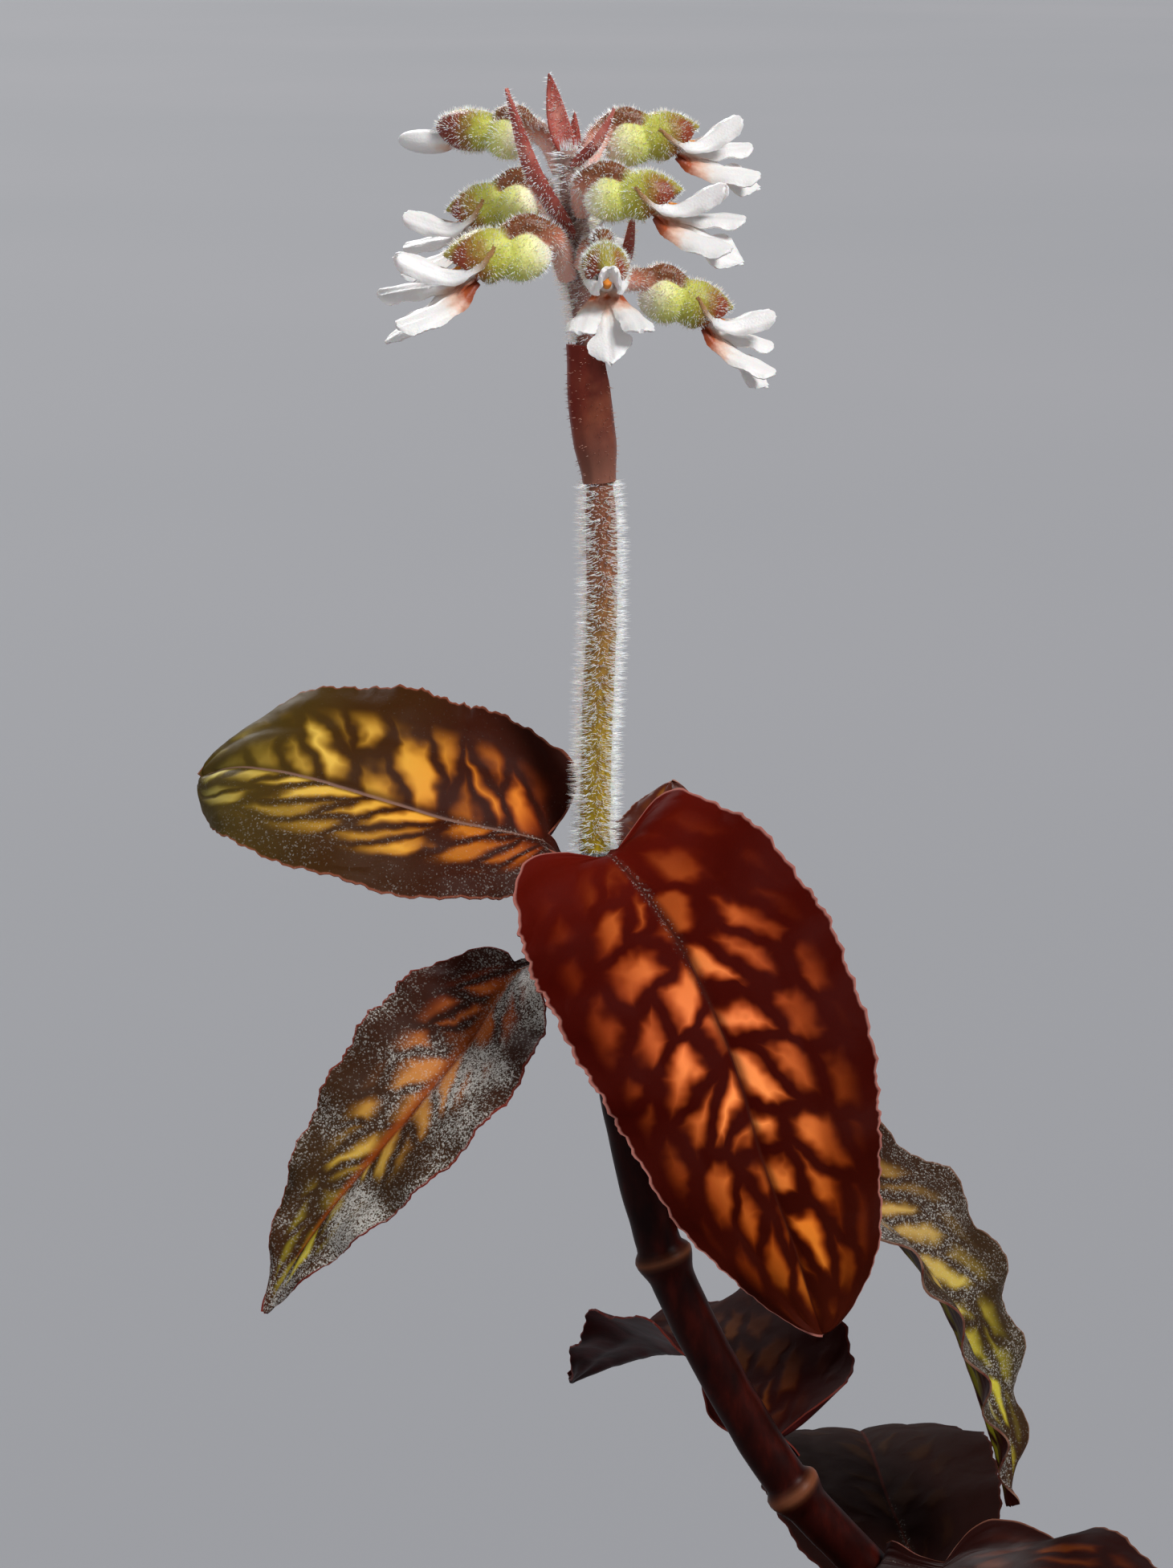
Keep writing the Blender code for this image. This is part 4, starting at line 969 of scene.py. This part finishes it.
# The sheath is painted paler towards its foot, a painted highlight, and brighter on its left than in the
# painted shade on its right.
shader = sheath_skin.node_tree.nodes["Principled BSDF"]
tone = shader.inputs["Base Color"].links[0].from_socket
where = add(sheath_skin, "TexCoord").outputs["Object"]
axes = add(sheath_skin, "SeparateXYZ", {0: where})
for axis, start, end, colour in ((0, -34.6, -37.0, "8E2E20"), (2, 207.0, 201.4, "8C5C4C")):
    share = add(sheath_skin, "MapRange", {0: axes.outputs[axis], 1: start * MM, 2: end * MM, 4: 0.8})
    tone = add(sheath_skin, "Mix", {0: share, 6: tone, 7: colour}, data_type="RGBA")
feed(sheath_skin, Base_Color=tone)
sheath = piece(bm, "clasping_sheath", [sheath_skin], sharp=60.0)
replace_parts(sheath, "stalk_sheath")

# Flowers: eight small flowers round the top of the stalk. Each has a hairy green body - ovary, sac and hood,
# fused in one - and thin white petals, sepals and lip at its mouth, with an orange column between them.

SAC_RADII = (2.2, 1.85, 1.95)
OVARY_END = [(-2.1, 0.0, 1.1), (-0.8, 0.0, 2.1), (1.0, 0.0, 1.8)]
HOOD_CENTRE = (2.9, 0.0, 0.7)
HOOD_RADII = (2.8, 1.9, 2.1)
MOUTH_CENTRE = (5.6, 0.0, -0.5)
MOUTH_RADII = (2.8, 1.55, 1.75)
BUD_HOOD_CENTRE = (3.9, 0.0, 0.4)
BUD_HOOD_RADII = (3.6, 1.9, 1.9)
BUD_TIP_CENTRE = (8.6, 0.0, -0.9)
BUD_TIP_RADII = (3.0, 1.2, 1.1)
PETAL_THICKNESS = 0.34
EAVE_THICKNESS = 0.5
MELT_VOXEL = 0.12
OVARY_STEPS = 30
# Each flower: its sac's centre, its heading, its size, and where its ovary meets the stalk.
FLOWERS = [
    ((-41.6, 5.8, 229.7), (-0.85, 0.5, 0.03), 0.95, (-37.8, 1.6, 227.2)),
    ((-31.4, 3.4, 229.4), (1.0, 0.15, -0.06), 1.0, (-34.4, 1.4, 226.0)),
    ((-33.0, -4.6, 225.4), (0.96, -0.2, -0.15), 1.0, (-35.0, -1.9, 223.8)),
    ((-28.4, 5.4, 216.0), (0.87, 0.15, -0.38), 1.0, (-34.0, 1.7, 216.2)),
    ((-33.6, -6.3, 219.9), (0.05, -0.96, -0.2), 1.0, (-35.3, -2.8, 219.4)),
    ((-40.3, -4.6, 220.7), (-0.93, -0.22, -0.25), 1.1, (-37.2, -1.5, 218.4)),
    ((-40.8, 1.4, 224.4), (-0.92, 0.15, -0.36), 1.0, (-38.0, 0.7, 221.5)),
    ((-35.6, 7.0, 223.4), (0.1, 0.95, -0.2), 1.0, (-35.9, 2.3, 221.4)),
]


def ellipsoid(bm, centre, radii, material=0):
    """Adds an ellipsoid to the mesh, and returns its points."""
    place = Matrix.Translation(centre) @ Matrix.Diagonal((*radii, 1.0))
    made = bmesh.ops.create_uvsphere(bm, u_segments=40, v_segments=24, radius=1.0, matrix=place)
    for face in {face for vert in made["verts"] for face in vert.link_faces}:
        face.material_index = material
    return made["verts"]


def scooped(bm, centre, radii):
    """The mesh with an ellipsoid cut out of it."""
    scoop = bmesh.new()
    ellipsoid(scoop, centre, radii)
    return carved(holding(bm), holding(scoop))


def flower_body(placed, root, opened):
    """Ovary, sac and hood melted into one skin, in the flower's own millimetres."""
    hood = bmesh.new()
    if opened:
        ellipsoid(hood, HOOD_CENTRE, HOOD_RADII)
        hood = scooped(hood, MOUTH_CENTRE, MOUTH_RADII)
    else:
        ellipsoid(hood, BUD_HOOD_CENTRE, BUD_HOOD_RADII)
        hood = scooped(hood, BUD_TIP_CENTRE, [radius + 0.39 for radius in BUD_TIP_RADII])
    bm = bmesh.new()
    drop(hood, bm)
    for vert in ellipsoid(bm, (0, 0, 0), SAC_RADII):
        # The sac narrows to a blunt end at its back and below.
        narrowed = smoothstep(0.4, 1.0, -vert.co.x / SAC_RADII[0])
        vert.co.y *= 1 - 0.3 * narrowed
        vert.co.z -= 0.25 * narrowed
    if opened:
        eave = Blade(
            spine=[(2.0, 0.0, 2.4), (3.4, 0.0, 2.5), (4.7, 0.0, 2.1), (5.8, 0.0, 1.5)],
            facing=[(0, 0, 1), (0, 0, 1)], half_width=(1.9, 1.9), fullness=(0.25, 0.8), curl=(-70, -60),
        )
        drop(holding(sheet(eave, 24, 14, EAVE_THICKNESS)), bm)
    # The ovary's foot goes a little way into the stalk, so that no blunt end shows.
    axis = stalk_path.at(stalk_path.mark(root))
    start = placed.inverted() @ (Vector(root) + (axis - Vector(root)).normalized() * 0.9)
    rise = start * 0.55 + Vector(OVARY_END[0]) * 0.45 + Vector((-0.3, 0.0, 0.8))
    arch = Path([start, rise, *OVARY_END])
    marks = [step / OVARY_STEPS for step in range(OVARY_STEPS + 1)]
    ovary = rod(
        [arch.at(mark * arch.length) for mark in marks],
        [0.8 + 0.2 * math.sin(math.pi * mark) for mark in marks],
        sides=5,
    )
    drop(holding(ovary), bm)
    body = holding(bm)
    melt = body.modifiers.new("melt", "REMESH")
    melt.mode, melt.voxel_size = "VOXEL", MELT_VOXEL
    ease = body.modifiers.new("ease", "SMOOTH")
    ease.factor, ease.iterations = 0.5, 9
    applied(body)
    bm = bmesh.new()
    drop(body, bm)
    stalked = bm.verts.layers.float.new("ovary")
    reach = [arch.at(mark * arch.length) for mark in marks]
    for vert in bm.verts:
        vert.co += vert.normal * 0.05 * noise.noise(vert.co * 1.6)
        gap = min((vert.co - spot).length for spot in reach)
        vert[stalked] = (1 - smoothstep(0.98, 1.2, gap)) * (1 - smoothstep(0.6, 1.6, vert.co.x))
    return bm


def white_parts(opened, roll, droop):
    """Petals, sepals, lip and column in the flower's own millimetres. The sepals and lip roll and droop."""
    bm = bmesh.new()
    if not opened:
        ellipsoid(bm, BUD_TIP_CENTRE, BUD_TIP_RADII)
        for vert in bm.verts:
            seam = math.exp(-((vert.co.y / 0.16) ** 2)) * smoothstep(-1.4, -0.4, vert.co.z)
            vert.co -= vert.normal * 0.1 * seam
        return bm
    upper, lower = [], []
    for side in (1, -1):
        # A petal lies along the hood's side and curls up in front of it; a sepal spreads out below.
        petal = [
            (2.2, 1.72, 1.4), (3.3, 1.84, 0.6), (4.6, 1.46, 0.1), (6.0, 1.0, 0.1), (7.4, 0.74, 1.0),
            (9.3, 0.6, 2.6),
        ]
        sepal = [(4.1, 0.45, -0.6), (6.2, 1.35, -1.2), (8.6, 2.1, -1.15), (11.0, 2.5, -1.0)]
        upper.append(
            Blade(
                spine=[(x, y * side, z) for x, y, z in petal],
                facing=[(0, side, 0.35), (0.2, 0.62 * side, 0.7)], half_width=(1.1, 1.1), fullness=(0.5, 0.5),
                profile=((0, 0.1), (0.2, 0.3), (0.5, 0.62), (0.75, 0.98), (0.9, 0.9), (0.97, 0.62), (1, 0.2)),
                curl=(-30, -50), wave=0.14, waves=4, teeth=12, tooth=0.1,
            )
        )
        lower.append(
            Blade(
                spine=[(x, y * side, z) for x, y, z in sepal],
                facing=[(0, 0.3 * side, 1), (0, 0, 1)], half_width=(1.45, 1.45), fullness=(0.5, 0.3),
                profile=((0, 0.4), (0.2, 0.68), (0.45, 0.86), (0.75, 1.0), (0.9, 0.9), (0.97, 0.6), (1, 0.2)),
                curl=(-50, -30), wave=0.12, teeth=14, tooth=0.08,
            )
        )
    lower.append(
        Blade(
            spine=[(4.1, 0, -0.5), (6.4, 0, -1.6), (9.1, 0, -2.7), (11.7, 0, -3.6)],
            facing=[(0, 0, 1), (0.1, -0.3, 0.9)], half_width=(2.0, 2.0), fullness=(0.9, 0.35),
            profile=(
                (0, 0.5), (0.2, 0.6), (0.52, 0.52), (0.6, 0.62), (0.68, 1.0), (0.78, 0.95), (0.9, 0.5),
                (1, 0.04),
            ),
            curl=(30, -20), wave=0.1, teeth=12, tooth=0.12,
        ),
    )
    for shapes in (lower, upper):
        for shape in shapes:
            drop(holding(sheet(shape, 44, 18, PETAL_THICKNESS, petal_relief, rim=0.5)), bm)
        if shapes is lower:
            bmesh.ops.rotate(bm, cent=(0, 0, -0.5), matrix=Matrix.Rotation(roll, 3, "X"), verts=bm.verts)
            bmesh.ops.rotate(bm, cent=(4.1, 0, -0.5), matrix=Matrix.Rotation(droop, 3, "Y"), verts=bm.verts)
    for face in bm.faces:
        face.material_index = 0
    ellipsoid(bm, (4.15, 0, -0.3), (0.75, 0.7, 0.7))
    ellipsoid(bm, (4.7, 0, 0.1), (0.9, 0.42, 0.5), material=1)
    ellipsoid(bm, (5.4, 0, 0.2), (0.4, 0.36, 0.3), material=1)
    return bm


def petal_relief(t, across, half, place):
    """A shallow channel down the middle, and faint veins beside it."""
    reach = abs(across) * half
    return (-0.1 * math.exp(-((reach / 0.25) ** 2)) + 0.02 * math.cos(14 * reach)) * smoothstep(0.0, 0.2, t)


# The body's colour follows its own shape: a whitish back of the sac, pale in its own right and whiter still
# as a painted highlight, a green hood, and a red-brown front. The ovary is red-brown above and pink below.
body_skin = surface(
    "glandular_flower_skin", Roughness=0.42, IOR=1.42, Subsurface_Weight=0.25, Subsurface_Scale=0.8 * MM
)
smooth = {"interpolation_type": "SMOOTHSTEP"}
local = add(body_skin, "Attribute", attribute_name="local").outputs["Vector"]
stalked = add(body_skin, "Attribute", attribute_name="ovary").outputs["Fac"]
axes = add(body_skin, "SeparateXYZ", {0: local})
mottle = add(body_skin, "TexNoise", {"Vector": local, "Scale": 1.1, "Detail": 5.0})
shifted = add(body_skin, "Math", {0: mottle, 1: 2.4, 2: axes.outputs[0]}, operation="MULTIPLY_ADD")
place = add(body_skin, "MapRange", {0: shifted, 1: -1.2, 2: 7.8})
# The whitest stops, at the sac's back, are partly a painted highlight.
tints = [
    (0.0, "FAF4E8"), (0.1, "F4F0CC"), (0.24, "E4E492"), (0.38, "D0D264"), (0.54, "AEAA3C"), (0.66, "94702A"),
    (0.76, "8A3A16"), (0.9, "7A240F"),
]
tone = add(body_skin, "ValToRGB", {"Fac": place}, stops=tints)
# The hood's ridge stays olive to its tip.
beside = add(body_skin, "Math", {0: axes.outputs[1]}, operation="ABSOLUTE")
beside = add(body_skin, "MapRange", {0: beside, 1: 0.3, 2: 1.0, 3: 0.85, 4: 0.0}, **smooth)
ridge = add(body_skin, "MapRange", {0: axes.outputs[2], 1: 1.0, 2: 1.6}, **smooth)
ridge = add(body_skin, "Math", {0: ridge, 1: beside}, operation="MULTIPLY")
stripe = add(body_skin, "MapRange", {0: axes.outputs[2], 1: -0.6, 2: 2.0}, **smooth)
bloom = add(
    body_skin, "ValToRGB", {"Fac": stripe}, stops=[(0.0, "EAB4A4"), (0.45, "C47C64"), (1.0, "74401E")]
)
glands = add(body_skin, "TexVoronoi", {"Vector": local, "Scale": 4.5})
bead = add(body_skin, "MapRange", {0: glands, 1: 0.1, 2: 0.3, 3: 0.35, 4: 0.0}, **smooth)
for amount, layer in ((ridge, "A49E40"), (stalked, bloom), (bead, "EFE9CC")):
    tone = add(body_skin, "Mix", {0: amount, 6: tone, 7: layer}, data_type="RGBA")
bump = add(body_skin, "Bump", {"Height": glands, "Strength": 0.5, "Distance": 0.08 * MM}, invert=True)
feed(body_skin, Base_Color=tone, Normal=bump)

# White petal tissue is full of air, so it is bright and scatters light; it is flushed red-brown at its base.
petal_skin = surface(
    "waxy_white_petal", Roughness=0.45, IOR=1.4, Subsurface_Weight=0.2, Subsurface_Scale=0.5 * MM
)
local = add(petal_skin, "Attribute", attribute_name="local").outputs["Vector"]
axes = add(petal_skin, "SeparateXYZ", {0: local})
mottle = add(petal_skin, "TexNoise", {"Vector": local, "Scale": 1.2, "Detail": 4.0})
# The flush is on the sepals and lip, which start below the petals.
raised = add(petal_skin, "MapRange", {0: axes.outputs[2], 1: -1.0, 2: 0.0, 3: 0.0, 4: 4.0})
shifted = add(petal_skin, "Math", {0: mottle, 1: 1.6, 2: axes.outputs[0]}, operation="MULTIPLY_ADD")
shifted = add(petal_skin, "Math", {0: shifted, 1: raised}, operation="ADD")
place = add(petal_skin, "MapRange", {0: shifted, 1: 4.9, 2: 10.4})
tints = [(0.0, "7E2E12"), (0.18, "A8522C"), (0.36, "DCB8A4"), (0.52, "E8E2DC"), (0.7, "EAE8E6")]
flush = add(petal_skin, "ValToRGB", {"Fac": place}, stops=tints)
# A petal is tinted like the hood where it comes out from under it.
young = add(petal_skin, "MapRange", {0: axes.outputs[0], 1: 2.9, 2: 4.9, 3: 0.95, 4: 0.0}, **smooth)
above = add(petal_skin, "MapRange", {0: axes.outputs[2], 1: -0.6, 2: 0.0}, **smooth)
young = add(petal_skin, "Math", {0: young, 1: above}, operation="MULTIPLY")
tone = add(petal_skin, "Mix", {0: young, 6: flush, 7: "9A6E34"}, data_type="RGBA")
cells = add(petal_skin, "TexVoronoi", {"Vector": local, "Scale": 5.5})
bump = add(petal_skin, "Bump", {"Height": cells, "Strength": 0.4, "Distance": 0.05 * MM})
feed(petal_skin, Base_Color=tone, Normal=bump)
tints = [(0.3, "D87A2A"), (0.6, "EC9C48"), (0.8, "F4BC70")]
column_skin = plain_skin("orange_column", tints, roughness=0.4, scale=900.0)


def fitted(bm, placed, name, materials, node):
    """Notes each point's place in the flower, then sets the mesh in its place on the stalk."""
    local = bm.verts.layers.float_vector.new("local")
    for vert in bm.verts:
        vert[local] = vert.co
    bmesh.ops.transform(bm, matrix=placed, verts=bm.verts)
    made = piece(bm, name, materials, sharp=60.0)
    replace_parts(made, node)
    return made


bodies = []
for index, (sac, heading, size, root) in enumerate(FLOWERS, start=1):
    forward = Vector(heading).normalized()
    sideways = Vector((0, 0, 1)).cross(forward).normalized()
    turn = Matrix((forward, sideways, forward.cross(sideways))).transposed().to_4x4()
    placed = Matrix.Translation(sac) @ turn @ Matrix.Scale(size, 4)
    opened = index > 1
    bm = flower_body(placed, root, opened)
    bodies.append(fitted(bm, placed, f"hooded_body_{index}", [body_skin], f"flower_{index}_body"))
    # The sepals and lip are turned a little towards the front on a flower at the side of the stalk, and hang
    # lower on the one at the front.
    roll = math.radians(26) * forward.x
    droop = math.radians(9) * max(0.0, -forward.y)
    bm = white_parts(opened, roll, droop)
    fitted(bm, placed, f"white_petals_{index}", [petal_skin, column_skin], f"flower_{index}_petals")

# Hairs: silky, colourless hairs stand on the stalk, its sheath, the bracts and the flowers' bodies. Each is a
# single file of clear cells, so it catches the light from behind.

HAIR_RADIUS = 0.035
HAIR_ROOT = 0.03

hair_cells = mottled(
    "silky_clear_hair", (2600.0,), [(0.3, "EAE2D6"), (0.6, "FFFFFF")],
    Roughness=0.35, Subsurface_Weight=0.4, Subsurface_Scale=0.3 * MM,
)


def hairy(thing, name, count, length, seed, covered=(0.0, 0.0), skin=hair_cells):
    """Hairs spread evenly over a finished piece, except between the heights where something covers it."""
    lot = random.Random(seed)
    mesh = thing.data
    mesh.calc_loop_triangles()
    triangles = mesh.loop_triangles
    areas = np.cumsum([triangle.area for triangle in triangles])

    def hair(bm):
        triangle = triangles[int(np.searchsorted(areas, lot.random() * areas[-1]))]
        corners = [mesh.vertices[corner].co / MM for corner in triangle.vertices]
        first, second = sorted((lot.random(), lot.random()))
        foot = corners[0] * first + corners[1] * (second - first) + corners[2] * (1 - second)
        if covered[0] < foot.z < covered[1]:
            return
        bend = Vector((lot.uniform(-0.35, 0.35), lot.uniform(-0.35, 0.35), lot.uniform(-0.15, 0.25)))
        aim = (triangle.normal + bend).normalized()
        size = length * lot.uniform(0.55, 1.15)
        turn = aim.to_track_quat("Z", "Y").to_matrix().to_4x4()
        stand = Matrix.Translation(foot + aim * (size / 2 - HAIR_ROOT)) @ turn
        bmesh.ops.create_cone(
            bm, cap_ends=True, segments=3, radius1=HAIR_RADIUS, radius2=0.0, depth=size, matrix=stand
        )

    return piece(gathered(count, hair, batch=250), name, [skin], sharp=80.0)


hairy(stalk, "stalk_hairs", count=12000, length=1.2, seed=21, covered=SHEATH_SPAN)
dull_hair = surface("dull_sheath_hair", Base_Color="A87868", Roughness=0.5)
hairy(sheath, "sheath_hairs", count=600, length=0.4, seed=22, skin=dull_hair)
hairy(bracts, "bract_hairs", count=2400, length=0.45, seed=23)
for index, body in enumerate(bodies, start=1):
    hairy(body, f"body_hairs_{index}", count=2200, length=0.45, seed=30 + index)

# Stage: a pale studio floor, a soft key from the upper right, a fill from the left, and a rim light behind
# that lights up the hairs. The camera looks from the photograph's side, a little downwards.

bpy.ops.mesh.primitive_plane_add(size=60.0, location=(0, 0, 0))
floor = bpy.context.object
floor.name = "studio_floor"
paint = mottled("matt_studio_paint", (0.8, 3.0), [(0.35, "87888C"), (0.65, "8B8B8F")], Roughness=0.9)
floor.data.materials.append(paint)

target = Vector((-0.035, 0.0, 0.175))
for name, spot, softness, strength in (
    ("key", (0.55, -0.6, 0.95), 0.3, 2.9),
    ("fill", (-0.8, -0.6, 0.5), 0.9, 0.45),
    ("rim", (-0.3, 0.8, 0.7), 0.3, 2.0),
):
    light = bpy.data.lights.new(name, "SUN")
    light.angle, light.energy = softness, strength
    lamp = bpy.data.objects.new(name, light)
    lamp.location = spot
    lamp.rotation_euler = (target - Vector(spot)).to_track_quat("-Z", "Y").to_euler()
    bpy.context.scene.collection.objects.link(lamp)
world = bpy.data.worlds.new("studio")
world.use_nodes = True
# The studio's wall is as bright as its floor, and its ceiling is dimmer.
aim = add(world, "TexCoord").outputs["Generated"]
rise = add(world, "SeparateXYZ", {0: aim}).outputs[2]
wall = add(world, "ValToRGB", {"Fac": rise}, stops=[(0.2, "A3A4A8"), (0.6, "6C6E72")])
plug(world.node_tree, wall, world.node_tree.nodes["Background"].inputs["Color"])
bpy.context.scene.world = world
bpy.context.scene.view_settings.view_transform = "Standard"

camera = bpy.data.objects.new("camera", bpy.data.cameras.new("camera"))
camera.location = (-0.035, -0.3659, 0.2528)
camera.rotation_euler = (math.radians(78), 0, 0)
camera.data.lens, camera.data.sensor_width, camera.data.clip_start = 100, 36, 0.01
bpy.context.scene.collection.objects.link(camera)
bpy.context.scene.camera = camera
